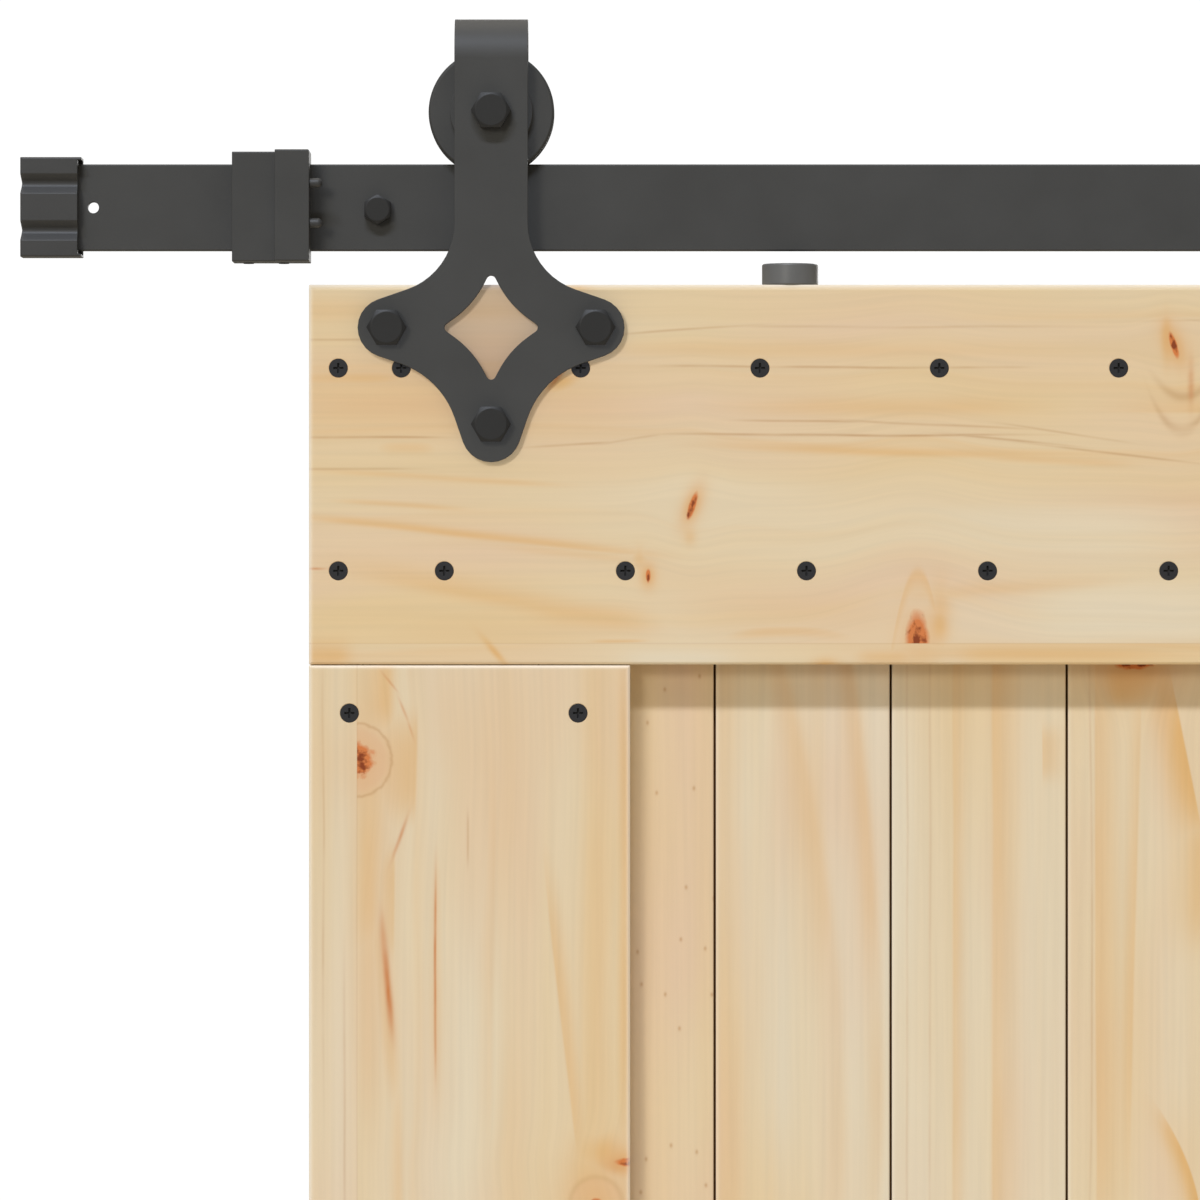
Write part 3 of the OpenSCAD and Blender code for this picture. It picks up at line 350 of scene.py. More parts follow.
    colour = mix(tree, given["Halos"], colour, KNOT_GLOW)
    colour = mix(tree, calc(tree, "MULTIPLY", given["Flesh"], 0.85), colour, KNOT_FLESH)
    colour = mix(tree, given["Rings"], colour, LINE_BROWN)
    inside = calc(tree, "MULTIPLY_ADD", given["Knot"], -2.6, 3.0, clamp=True)
    colour = mix(tree, calc(tree, "MULTIPLY", inside, 0.9), colour, KNOT_RED)
    cracks = cloud(tree, stretched(tree, along, given["Across"], depth, (420.0, 260.0, 300.0)),
                   board, detail=2.0)
    cracks = calc(tree, "MULTIPLY_ADD", cracks, 6.0, -1.75)
    heart = calc(tree, "MULTIPLY_ADD", given["Knot"], -1.7, cracks, clamp=True)
    heart = calc(tree, "MULTIPLY", calc(tree, "MULTIPLY", heart, inside), 0.9)
    colour = mix(tree, heart, colour, KNOT_DARK)
    # Painted highlight along the arrises on the sides named
    colour = mix(tree, given["Sanded"], colour, ARRIS_HIGHLIGHT)
    feed(tree, result["Colour"], colour)
    feed(tree, result["Roughness"], calc(tree, "MULTIPLY_ADD", fibres, 0.2, 0.46))

    # The bumps are straight fibres alone, since a bump works out its height three times over
    straight = stretched(tree, along, given["Across"], depth, (9.0, 420.0, 420.0))
    feed(tree, result["Height"], cloud(tree, straight, board, detail=2.0))
    return tree


def make_skin_group():
    """Fine orange-peel skin of a coated or moulded surface, with faint clouding."""
    tree, given, result = new_group(
        "coated_skin", ["Grain", "Clouding", "Roughness"],
        {"Shade": "NodeSocketColor", "Roughness": "NodeSocketFloat", "Height": "NodeSocketFloat"})
    places = tree.nodes.new("ShaderNodeTexCoord").outputs["Object"]
    peel = cloud(tree, places, 0.0, given["Grain"], detail=2.0)
    drift = cloud(tree, places, 4.0, 30.0, detail=3.0)
    clouded = ramp(tree, drift, [(0.3, 0.9), (0.7, 1.08)])
    feed(tree, result["Shade"], mix(tree, given["Clouding"], (1.0, 1.0, 1.0, 1.0), clouded))
    wide = calc(tree, "MULTIPLY", calc(tree, "SUBTRACT", drift, 0.5), 0.12)
    feed(tree, result["Roughness"], calc(tree, "ADD", given["Roughness"], wide, clamp=True))
    feed(tree, result["Height"], peel)
    return tree


grain_round_knot = make_knot_group()
grain_mark = make_mark_group()
planed_pine = make_pine_group()
coated_skin = make_skin_group()


# Materials

def new_material(name):
    material = bpy.data.materials.new(name)
    material.use_nodes = True
    tree = material.node_tree
    return material, tree, tree.nodes["Principled BSDF"]


def raise_bumps(tree, shader, height, distance, strength):
    bump = tree.nodes.new("ShaderNodeBump")
    bump.inputs["Strength"].default_value = strength
    bump.inputs["Distance"].default_value = distance
    feed(tree, bump.inputs["Height"], height)
    tree.links.new(bump.outputs["Normal"], shader.inputs["Normal"])


def coated(name, colour, roughness, grain, depth, metallic=0.0, specular=0.5, clouding=1.0):
    """Powder coat, oxide, rubber, nylon or ground steel, by its colour, gloss and skin."""
    material, tree, shader = new_material(name)
    skin = use_group(tree, coated_skin, Grain=grain, Roughness=roughness, Clouding=clouding)
    tree.links.new(mix(tree, 1.0, colour, skin["Shade"], "MULTIPLY"), shader.inputs["Base Color"])
    tree.links.new(skin["Roughness"], shader.inputs["Roughness"])
    shader.inputs["Metallic"].default_value = metallic
    shader.inputs["Specular IOR Level"].default_value = specular
    raise_bumps(tree, shader, skin["Height"], depth, 0.5)
    return material


def painted_arris_highlight(tree, x, z, node, sides, share):
    """Painted highlight along the eased arrises of a board, on the sides named."""
    low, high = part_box(node)
    places = {"left": (x, low.x), "right": (x, high.x), "top": (z, high.z), "bottom": (z, low.z)}
    nearest = 1.0
    for side in sides:
        value, place = places[side]
        off = calc(tree, "ABSOLUTE", calc(tree, "SUBTRACT", value, place))
        nearest = calc(tree, "MINIMUM", nearest, off)
    return calc(tree, "MULTIPLY", bell(tree, nearest, ARRIS_HIGHLIGHT_WIDTH), share)


def pine(node, grain, face, board, pith_across, pith_depth, ring, sway, figure, honey=0.0, blush=0.0,
         specks=0.0, highlit_sides=("left", "right"), highlight_share=0.25, knots=(), marks=(), glue=None, painted_shade_at=(),
         joined=None):
    """Planed pine for one board, whose number seeds its figure. The grain runs along X or Z, and places are
    measured from the door's left and top edges. A board glued from two strips has its glue line across the
    grain at a place, with the second strip before (-1) or after (1) it; knots stay on the first strip.
    Places given along the grain have painted shade: the wood inside a hanger's cut-out is darkened. A board
    that is joined to its neighbours by tongues gives its thickness, and has painted shade inside its
    grooves."""
    material, tree, shader = new_material(f"pine_{node}")
    where = tree.nodes.new("ShaderNodeSeparateXYZ")
    tree.links.new(tree.nodes.new("ShaderNodeTexCoord").outputs["Object"], where.inputs[0])
    x, y, z = where.outputs
    right = calc(tree, "SUBTRACT", x, DOOR_LEFT)
    down = calc(tree, "SUBTRACT", DOOR_TOP, z)
    along, across = (right, down) if grain == "X" else (down, right)
    ragged = cloud(tree, stretched(tree, along, across, 0.0, (230.0, 230.0, 1.0)), board, detail=3.0)
    ragged = calc(tree, "MULTIPLY_ADD", ragged, 1.4, -0.7)
    bent, nearest, halos, rings, flesh = across, NO_KNOT, 0.0, 0.0, 0.0
    for knot in knots:
        made = use_group(tree, grain_round_knot, Along=along, Across=across, Ragged=ragged, Bent=bent,
                         Nearest=nearest, Halos=halos, Rings=rings, Flesh=flesh, **knot)
        bent, nearest, halos = made["Bent"], made["Nearest"], made["Halos"]
        rings, flesh = made["Rings"], made["Flesh"]
    values = dict(Board=board, Pith_Across=pith_across)
    if glue is not None:
        glue_place, second_side = glue
        off_glue = calc(tree, "SUBTRACT", across, glue_place)
        second = calc(tree, "GREATER_THAN", calc(tree, "MULTIPLY", off_glue, second_side), 0.0)
        first = calc(tree, "SUBTRACT", 1.0, second)
        pushed = calc(tree, "MULTIPLY", calc(tree, "SUBTRACT", bent, across), first)
        bent = calc(tree, "ADD", across, pushed)
        nearest = calc(tree, "ADD", nearest, calc(tree, "MULTIPLY", second, NO_KNOT))
        rings = calc(tree, "MULTIPLY", rings, first)
        flesh = calc(tree, "MULTIPLY", flesh, first)
        halos = calc(tree, "MULTIPLY", halos, calc(tree, "MULTIPLY_ADD", second, -0.7, 1.0))
        values = dict(Board=calc(tree, "MULTIPLY_ADD", second, 9.7, board),
                      Pith_Across=calc(tree, "MULTIPLY_ADD", second, 0.06, pith_across))
    wander = cloud(tree, point(tree, calc(tree, "MULTIPLY", along, 9.0), 0.0, 0.0), board, detail=1.0)
    wander = calc(tree, "MULTIPLY_ADD", wander, 3.0 * MM, calc(tree, "SUBTRACT", across, 1.5 * MM))
    masks = {"Honey": 0.0, "Pale": 0.0, "Line": 0.0, "Resin": 0.0}
    for kind, mark in marks:
        made = use_group(tree, grain_mark, Along=along, Across=wander, Marks=masks[kind], **mark)
        masks[kind] = made["Marks"]
    depth = calc(tree, "SUBTRACT", y, face)
    wood = use_group(tree, planed_pine, Along=along, Across=across, Bent=bent, Depth=depth, Knot=nearest,
                     Halos=halos, Rings=rings, Flesh=flesh, Honey_Marks=masks["Honey"],
                     Pale_Marks=masks["Pale"], Line_Marks=masks["Line"], Resin_Marks=masks["Resin"],
                     Pith_Depth=pith_depth, Ring=ring, Sway=sway, Figure=figure, Honey=honey, Blush=blush,
                     Specks=specks, Sanded=painted_arris_highlight(tree, x, z, node, highlit_sides, highlight_share), **values)
    colour = wood["Colour"]
    if glue is not None:
        glue_line = calc(tree, "MULTIPLY", bell(tree, off_glue, GLUE_WIDTH), 0.17)
        colour = mix(tree, glue_line, colour, LINE_BROWN)
    # Painted shade on the wood inside each hanger's cut-out
    for place in painted_shade_at:
        off = calc(tree, "DIVIDE", calc(tree, "SUBTRACT", along, place), PAINTED_SHADE_HALF_W)
        drop = calc(tree, "DIVIDE", calc(tree, "SUBTRACT", across, PLATE_DROP), PAINTED_SHADE_HALF_H)
        out = calc(tree, "ADD", calc(tree, "ABSOLUTE", off), calc(tree, "ABSOLUTE", drop))
        cutout_shade = calc(tree, "MULTIPLY_ADD", out, -6.0, 6.5, clamp=True)
        colour = mix(tree, cutout_shade, colour, PINE_PAINTED_SHADE, "MULTIPLY")
    # Painted shade inside the grooves between the slats
    if joined:
        groove_shade = between(tree, depth, GROOVE_FROM, joined - GROOVE_FROM)
        for value, far in ((right, DOOR_W * MM), (down, DOOR_H * MM)):
            within = between(tree, value, GROOVE_INSET, far - GROOVE_INSET)
            groove_shade = calc(tree, "MULTIPLY", groove_shade, within)
        colour = mix(tree, groove_shade, colour, GROOVE_PAINTED_SHADE, "MULTIPLY")
    tree.links.new(colour, shader.inputs["Base Color"])
    tree.links.new(wood["Roughness"], shader.inputs["Roughness"])
    shader.inputs["Specular IOR Level"].default_value = 0.25
    raise_bumps(tree, shader, wood["Height"], 0.12 * MM, 0.3)
    return material


charcoal_coat = coated("charcoal_powder_coat", srgb(60, 60, 59), 0.55, 900, 0.02 * MM, specular=0.4)
black_oxide = coated("black_oxide_bolt", srgb(31, 31, 31), 0.5, 1400, 0.01 * MM, specular=0.4)
black_phosphate = coated("black_phosphate_screw", srgb(32, 32, 35), 0.55, 2200, 0.01 * MM, specular=0.4)
cap_rubber = coated("end_cap_rubber", srgb(56, 56, 56), 0.5, 1200, 0.015 * MM, specular=0.45)
grey_nylon = coated("grey_nylon", srgb(102, 102, 101), 0.4, 1500, 0.01 * MM)
ground_steel = coated("ground_bearing_steel", srgb(190, 190, 192), 0.3, 1800, 0.004 * MM, metallic=1.0)


def knot_at(along, across, half_length, half_width, lean=0.0, rough=0.5, halo=5.0, glow=0.7, ring_at=2.2,
            ringed=0.0, ring_width=0.07):
    """A knot by its place and half sizes, in millimetres along and across the grain."""
    return dict(Knot_Along=along * MM, Knot_Across=across * MM, Half_Length=half_length * MM,
                Half_Width=half_width * MM, Lean=lean, Rough=rough, Bend=1.5 * half_width * MM,
                Reach=(4 * half_length + 6) * MM, Halo=halo * MM, Glow=glow, Ring_At=ring_at, Ringed=ringed,
                Ring_Width=ring_width)


# A mark whose half length, in millimetres, is below this fades out softly at both ends
SHORT_MARK = 10


def mark_at(kind, along, across, reach, before, after, strength, lean=0.0, bow=0.0):
    """A band or line in the grain, in millimetres: its middle, half length, and softness both ways."""
    return kind, dict(Mark_Along=along * MM, Mark_Across=across * MM, Reach=reach * MM, Before=before * MM,
                      After=after * MM, Strength=strength, Lean=lean, Bow=bow,
                      Ends=1.0 if reach < SHORT_MARK else 2.0)


def line(along, across, reach, strength, lean=0.0, bow=0.0, width=0.6):
    return mark_at("Line", along, across, reach, width, width, strength, lean, bow)


def resin(along, across, reach, width, strength, lean=0.0):
    return mark_at("Resin", along, across, reach, width, width, strength, lean)


def honey(along, across, reach, before, after, strength, lean=0.0, bow=0.0):
    return mark_at("Honey", along, across, reach, before, after, strength, lean, bow)


def pale(along, across, reach, before, after, strength):
    return mark_at("Pale", along, across, reach, before, after, strength)


draw = random.Random(11)


def scattered(count, start, end, low, high):
    """Marks drawn at random on a stretch of board, in millimetres along and across the grain."""
    marks = []
    for _ in range(count):
        along = draw.uniform(start, end)
        across = draw.uniform(low, high)
        reach = draw.uniform(60, 320)
        soft = draw.uniform(2, 9)
        lean = draw.uniform(-0.03, 0.03)
        after = draw.uniform(0.8, soft)
        strength = draw.uniform(0.2, 0.55)
        bow = draw.uniform(-0.08, 0.08)
        marks.append(honey(along, across, reach, soft, after, strength, lean, bow))
        if draw.random() < 0.5:
            marks.append(line(along, across + soft, reach / 2, draw.uniform(0.15, 0.45), lean))
        if draw.random() < 0.25:
            marks.append(resin(along, across - 12, draw.uniform(8, 30), draw.uniform(0.4, 1.4), 0.6, lean))
    return marks


# Sizes on the door in millimetres, and how far right and down the photo shows it
DOOR_W = (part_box("header")[1].x - DOOR_LEFT) / MM
DOOR_H = (DOOR_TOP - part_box("bottom_rail")[0].z) / MM
RAIL_TOP = (DOOR_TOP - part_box("bottom_rail")[1].z) / MM
STILE_W = (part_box("stile_left")[1].x - DOOR_LEFT) / MM
SEEN_RIGHT = 420
SEEN_DOWN = 430

# Middles of the hangers, in metres from the door's left edge
HANGERS_RIGHT = [sum(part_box(f"hanger_{side}"), Vector()).x / 2 - DOOR_LEFT for side in ("left", "right")]

header_knots = [
    knot_at(176.6, 101.9, 1.7, 6.2, lean=-0.3, rough=0.5, halo=2.6, glow=0.9),
    knot_at(156.3, 134.2, 1.1, 3.1, rough=0.3, halo=2.2, glow=0.85),
    knot_at(280.2, 167.8, 5.4, 17.0, rough=0.25, halo=3, glow=0.6),
    knot_at(398.4, 28.0, 1.6, 6.0, lean=0.28, rough=0.35, halo=3.2, glow=0.9),
    knot_at(585, 122, 4, 5, ringed=0.6), knot_at(742, 61, 2, 8, rough=0.4, halo=7)]
header_marks = [
    line(12.6, 25.5, 14, 0.45), line(175, 20.9, 32, 0.4, lean=-0.07), line(272, 19.3, 85, 0.25, width=0.7),
    line(189, 37.9, 26, 0.4), line(249, 37.9, 38, 0.45), line(311, 38.1, 18, 0.35), line(30, 70.4, 32, 0.5),
    line(120, 73.8, 22, 0.4, lean=-0.06), line(147.6, 71.5, 14, 0.35, lean=-0.15),
    line(249, 69.2, 80, 0.55),
    line(322.6, 71.5, 30, 0.45, lean=0.1), line(368.6, 77.5, 40, 0.4, lean=0.12), line(226, 62.8, 28, 0.5),
    line(286, 64.2, 45, 0.35, lean=0.05), line(348, 68.3, 28, 0.3, lean=0.15), line(20, 85.0, 30, 0.3),
    line(403, 51.7, 13, 0.4, bow=-47.0, width=2.4), line(402, 67.3, 13, 0.4, bow=-78.0, width=2.6),
    resin(406.3, 45, 1.5, 10, 0.55), pale(170, 172, 25, 4, 5, 0.7), pale(296, 171, 9, 4, 5, 0.6),
    honey(238, 176, 6, 4, 4, 0.8), honey(265, 171, 12, 3, 4, 0.45), honey(291, 150, 5, 14, 14, 0.5),
    honey(280.4, 133, 13, 3, 7, 0.5, bow=240.0), pale(280.4, 145, 7, 6, 6, 0.4),
    honey(116, 45, 9, 3.5, 4.5, 0.95, lean=-0.3), resin(114.6, 42.9, 4.5, 1.6, 0.9, lean=-1.15),
    honey(123, 0, 7, 3, 3, 0.9), honey(18.6, 43.4, 28, 3.5, 3.5, 0.6), honey(55, 55, 95, 20, 16, 0.45),
    honey(45, 75.5, 12, 3, 3, 0.5), honey(263, 56.3, 70, 5, 4, 0.4),
    honey(272, 77, 85, 2.5, 2.0, 0.6, lean=0.03), honey(341, 80.7, 35, 2.5, 2.0, 0.55, lean=0.06),
    honey(74, 115.3, 80, 2.5, 1.6, 0.75, lean=0.11), honey(78.5, 142.9, 65, 7, 4, 0.5, lean=0.19),
    honey(129, 152.6, 28, 6, 5, 0.5, lean=0.12), honey(60, 89, 52, 1.5, 1.5, 0.5, lean=0.06),
    honey(41.6, 101.5, 28, 1.5, 1.2, 0.5, lean=0.06), honey(85.4, 168.7, 6, 2.4, 2.4, 0.9, lean=1.1),
    honey(7.1, 170, 12, 6, 6, 0.7), honey(221, 159.5, 26, 2.5, 3.0, 0.55, bow=3.0),
    honey(336, 170, 60, 4, 4, 0.55), honey(322.6, 140, 50, 4, 3, 0.35, lean=-0.07),
    honey(143, 164.5, 12, 1.0, 0.6, 0.5), honey(290.5, 157, 4.5, 9, 8, 0.8),
    honey(395, 24, 2.2, 9, 12, 0.9),
    honey(10, 12, 90, 6, 5, 0.3), honey(230, 30, 110, 4, 4, 0.3), honey(120, 124, 30, 3, 2, 0.3, lean=0.1),
    honey(152, 126, 3, 5, 5, 0.5), honey(175.5, 117, 3, 4, 4, 0.5),
    honey(222, 151, 48, 12, 12, 0.28), pale(382, 154, 40, 12, 9, 0.6), pale(345, 110, 60, 12, 10, 0.4),
    resin(2.5, 130.9, 5, 0.6, 0.6)]
header_marks += scattered(9, SEEN_RIGHT, DOOR_W, 10, 170)

stile_knots = [
    knot_at(219.0, 22.8, 7.6, 7.0, rough=1.0, halo=10, glow=0.6, ring_at=2.2, ringed=0.36, ring_width=0.1),
    knot_at(404.2, 148, 2.0, 6.5, rough=0.7, halo=4, glow=0.9),
    knot_at(423, 132.4, 2.6, 2.6, rough=0.8, halo=12, glow=0.5, ring_at=4.6, ringed=0.2, ring_width=0.5),
    knot_at(960, 88, 6, 5, ringed=0.5), knot_at(1470, 118, 4, 3),
    knot_at(1760, 62, 6, 5.5, rough=0.8, ringed=0.6)]
stile_marks = [
    honey(222, 48.8, 24, 12, 1.2, 0.6, lean=-0.04), honey(285, 38.6, 24, 7, 0.9, 0.55),
    resin(255, 41.5, 9, 0.9, 0.7, lean=-0.35), honey(186, 36, 17, 13, 4, 0.65),
    resin(183, 37.5, 4, 0.7, 0.45, lean=0.8), resin(196, 44, 5, 0.7, 0.45, lean=0.4),
    resin(205, 47.2, 4, 0.6, 0.4, lean=0.3),
    resin(319.3, 36.1, 26, 1.6, 0.95, lean=0.09), resin(316.5, 58.2, 42, 0.6, 0.9),
    honey(330, 35, 45, 4, 4, 0.45, lean=0.09), honey(316, 58.5, 60, 2.5, 2.5, 0.35),
    honey(425, 41, 55, 3, 2.5, 0.4),
    honey(342.8, 117.2, 75, 0.9, 5, 0.5, lean=0.115), honey(320, 132.4, 170, 7, 6, 0.3),
    honey(290, 145.5, 110, 3, 5, 0.55), line(269, 6.6, 90, 0.25), line(375, 16.3, 60, 0.25),
    line(255.3, 72.9, 12, 0.35), honey(300, 84, 110, 5, 2, 0.3, lean=-0.02), pale(300, 12, 170, 9, 8, 0.5),
    honey(412, 128, 15, 10, 10, 0.4), honey(268, 27, 40, 6, 7, 0.5), honey(335, 28, 60, 6, 6, 0.3),
    honey(399, 133, 8, 10, 12, 0.75), resin(405.5, 142, 3.2, 6, 0.6), honey(237, 80, 60, 30, 30, 0.2)]
stile_marks += scattered(10, SEEN_DOWN + 60, RAIL_TOP, 8, STILE_W - 8)

frame_look = dict(ring=0.013, sway=0.03, figure=0.32, highlight_share=0.62)
upper_sides = ("left", "right", "top")
pine_of = {
    "header": pine(
        "header", "X", FRAME_FACE, 2.0, 0.165, 0.045, honey=0.045, highlit_sides=upper_sides,
        glue=(165.3 * MM, 1), painted_shade_at=HANGERS_RIGHT, knots=header_knots, marks=header_marks, **frame_look),
    "bottom_rail": pine(
        "bottom_rail", "X", FRAME_FACE, 14.0, DOOR_H * MM - 0.09, 0.05, highlit_sides=(*upper_sides, "bottom"),
        knots=[knot_at(265, RAIL_TOP + 40, 4, 6, ringed=0.5), knot_at(645, RAIL_TOP + 95, 2, 8),
               knot_at(815, RAIL_TOP + 30, 2, 3)],
        marks=scattered(14, 0, DOOR_W, RAIL_TOP + 8, DOOR_H - 8), **frame_look),
    "stile_left": pine(
        "stile_left", "Z", FRAME_FACE, 5.0, 0.115, 0.05, honey=0.025, highlit_sides=upper_sides,
        glue=(22.2 * MM, -1), knots=stile_knots, marks=stile_marks, **frame_look),
    "stile_right": pine(
        "stile_right", "Z", FRAME_FACE, 21.0, DOOR_W * MM - 0.055, 0.05, highlit_sides=upper_sides,
        knots=[knot_at(485, DOOR_W - 45, 5, 4, ringed=0.5), knot_at(1205, DOOR_W - 95, 6, 5),
               knot_at(1625, DOOR_W - 27, 3, 3)],
        marks=scattered(12, 190, RAIL_TOP, DOOR_W - STILE_W + 8, DOOR_W - 8), **frame_look),
}
slat_marks = {
    "slat_4": [
        honey(237.9, 230.8, 190, 8, 4, 0.42, lean=0.19, bow=-0.66),
        honey(237.9, 256.8, 190, 6, 3, 0.42, lean=0.1, bow=-0.42),
        honey(400, 192, 420, 6, 8, 0.3), pale(335, 219, 62, 13, 11, 0.8)],
    "slat_5": [
        line(300, 276.7, 200, 0.2), line(300, 287.3, 200, 0.2), honey(330, 298.5, 300, 0.9, 5, 0.45),
        honey(330, 317, 300, 1.2, 7, 0.45), pale(330, 339, 200, 9, 12, 0.45),
        honey(216.5, 339.6, 12, 0.3, 8, 0.5)],
    "slat_6": [
        honey(185, 375, 10, 9, 18, 0.8), line(290, 361.9, 130, 0.3, bow=-0.1),
        honey(300, 364, 150, 0.9, 9, 0.5),
        honey(290, 381.5, 120, 4.5, 0.9, 0.45, lean=-0.03), honey(217.1, 405.4, 36, 11, 0.7, 1.0, lean=0.2),
        honey(275, 412, 30, 7, 6, 0.6), honey(415, 408, 30, 6, 0.6, 1.0, lean=0.3, bow=-5.0),
        pale(343, 402, 46, 10, 10, 0.6)],
}
slat_knots = {"slat_6": [knot_at(175, 381.5, 2.6, 9, rough=0.7, halo=8, glow=0.8)]}

# The slats that the photo shows, by their tone; the first of them is pinkish and specked
slat_honey = {"slat_3": -0.04, "slat_4": -0.06, "slat_5": -0.05, "slat_6": 0.0}
PINKISH_SLAT = "slat_3"
SLAT_COUNT = 12
for number in range(1, SLAT_COUNT + 1):
    node = f"slat_{number}"
    low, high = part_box(node)
    left = (low.x - DOOR_LEFT) / MM
    wide = (high.x - low.x) / MM
    seen = node in slat_honey
    start = SEEN_DOWN + 70 if seen else 0
    marks = slat_marks.get(node, []) + scattered(7, start, DOOR_H, left + 4, left + wide - 4)
    pine_of[node] = pine(
        node, "Z", SLAT_FACE, 30.0 + 3.7 * number, (left + draw.uniform(0.0, 1.0) * wide) * MM,
        draw.uniform(0.02, 0.05), ring=0.016, sway=0.014, figure=0.14 if seen else draw.uniform(0.15, 0.35),
        honey=slat_honey.get(node, draw.uniform(-0.08, 0.02)), blush=0.3 if node == PINKISH_SLAT else -0.1,
        specks=0.55 if node == PINKISH_SLAT else 0.0, knots=slat_knots.get(node, ()), marks=marks,
        joined=high.y - SLAT_FACE)


# Pieces

EASED_FOLD = math.radians(30)


def add_object(name, data):
    made = bpy.data.objects.new(name, data)
    bpy.context.scene.collection.objects.link(made)
    return made


def finish_piece(name, shape, material, body, nodes, fold=40.0):
    """Turns a finished shape into a piece that rides on a body and stands for its CAD nodes."""
    for face in shape.faces:
        face.smooth = True
        face.material_index = 0
    mesh = bpy.data.meshes.new(name)
    shape.to_mesh(mesh)
    shape.free()
    mesh.materials.append(material)
    mesh.set_sharp_from_angle(angle=math.radians(fold))
    piece = add_object(name, mesh)
    flat_faces = piece.modifiers.new("flat_faces", "WEIGHTED_NORMAL")
    flat_faces.keep_sharp = True
    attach(piece, body)
    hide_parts(*nodes)


def eased(node, edge, material):
    """A copy of a CAD node with every sharp edge rounded over, in the node's place."""
    shape = bmesh.new()
    shape.from_mesh(frame["nodes"][node].data)
    bmesh.ops.remove_doubles(shape, verts=shape.verts, dist=1e-6)
    bmesh.ops.dissolve_limit(shape, angle_limit=math.radians(0.5), verts=shape.verts, edges=shape.edges)
    sharp = [e for e in shape.edges if len(e.link_faces) == 2 and e.calc_face_angle(0.0) > EASED_FOLD]
    bmesh.ops.bevel(shape, geom=sharp, offset=edge, offset_type="OFFSET", affect="EDGES", segments=2,
                    profile=0.5, material=-1, clamp_overlap=False)
    bmesh.ops.dissolve_degenerate(shape, edges=shape.edges, dist=1e-7)
    finish_piece(f"eased_{node}", shape, material, frame["nodes"][node]["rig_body"], [node])


FACING_ROOM = Matrix.Rotation(math.radians(90), 4, "X")
FACING_WALL = Matrix.Rotation(math.radians(-90), 4, "X")
STRAP_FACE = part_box("hanger_left")[0].y
STRAP_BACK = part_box("hanger_left")[1].y
RAIL_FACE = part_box("rail")[0].y
AXLES = [Vector(joint["pos_m"]) for joint in frame["joints"] if joint["type"] == "hinge"]
PLATE_Z = DOOR_TOP - PLATE_DROP
SIDE_BOLT_OUT = 48 * MM
LOW_BOLT_DROP = 44.5 * MM
WALL_BOLT_XS = [sum(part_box(f"wall_spacer_{n}"), Vector()).x / 2 for n in range(1, 5)]
HEX_POINTS = 48
ROD_POINTS = 32
THREAD_STEPS = 24
CROWN_SLOPE = math.tan(math.radians(30))


def put(shape, matrix, maker, *sizes):
    """Adds a shape made on Z = 0 and moves it to its place."""
    before = len(shape.verts)
    maker(shape, *sizes)
    shape.verts.ensure_lookup_table()
    bmesh.ops.transform(shape, matrix=matrix, verts=shape.verts[before:])


def grow_ring(shape, edges):
    """Extrudes a ring of edges and returns the new ring's vertices and edges."""
    made = bmesh.ops.extrude_edge_only(shape, edges=edges)["geom"]
    verts = [g for g in made if isinstance(g, bmesh.types.BMVert)]
    fresh = set(verts)
    return verts, [g for g in made if isinstance(g, bmesh.types.BMEdge) and fresh.issuperset(g.verts)]


def crowned_hexagon(shape, flats, height, turn=0.0, bore=0.0):
    """Hexagon head, or a nut with a bore, whose corners are turned down to a round crown."""
    crown = 0.455 * flats
    soft = 0.02 * flats

    def lay(verts, place):
        for vert in verts:
            angle = math.atan2(vert.co.y, vert.co.x)
            reach = flats / 2 / math.cos((angle - turn) % (math.pi / 3) - math.pi / 6)
            radius, level = place(reach)
            vert.co = (radius * math.cos(angle), radius * math.sin(angle), level)

    levels = [lambda reach: (reach, height - (reach - crown) * CROWN_SLOPE),
              lambda reach: (crown, height - 0.1 * soft),
              lambda reach: (crown - soft, height)]
    if bore:
        levels += [lambda reach: (bore + 2 * soft, height),
                   lambda reach: (bore, height - 2 * soft),
                   lambda reach: (bore, 0.0)]
    foot = bmesh.ops.create_circle(shape, segments=HEX_POINTS, radius=1.0)["verts"]
    foot_edges = list({edge for vert in foot for edge in vert.link_edges})
    lay(foot, lambda reach: (reach, 0.0))
    edges = foot_edges
    for place in levels:
        verts, edges = grow_ring(shape, edges)
        lay(verts, place)
    if bore:
        bmesh.ops.bridge_loops(shape, edges=foot_edges + edges)
    else:
        bmesh.ops.contextual_create(shape, geom=edges)
        bmesh.ops.contextual_create(shape, geom=foot_edges)


def rod(shape, radius, start, end, tip=None):
    """Round rod along Z, with a bevelled end, or drawn to a point."""
    narrow = 0.02 * radius if tip else 0.85 * radius
    taper = tip or 0.2 * radius
    place = Matrix.Translation((0, 0, start))
    ring = bmesh.ops.create_circle(shape, segments=ROD_POINTS, radius=radius, matrix=place)["verts"]
    foot = list({edge for vert in ring for edge in vert.link_edges})
    edges = foot
    for level, share in ((end - taper, 1.0), (end, narrow / radius)):
        verts, edges = grow_ring(shape, edges)
        for vert in verts:
            vert.co = (vert.co.x * share, vert.co.y * share, level)
    bmesh.ops.contextual_create(shape, geom=edges)
    bmesh.ops.contextual_create(shape, geom=foot)


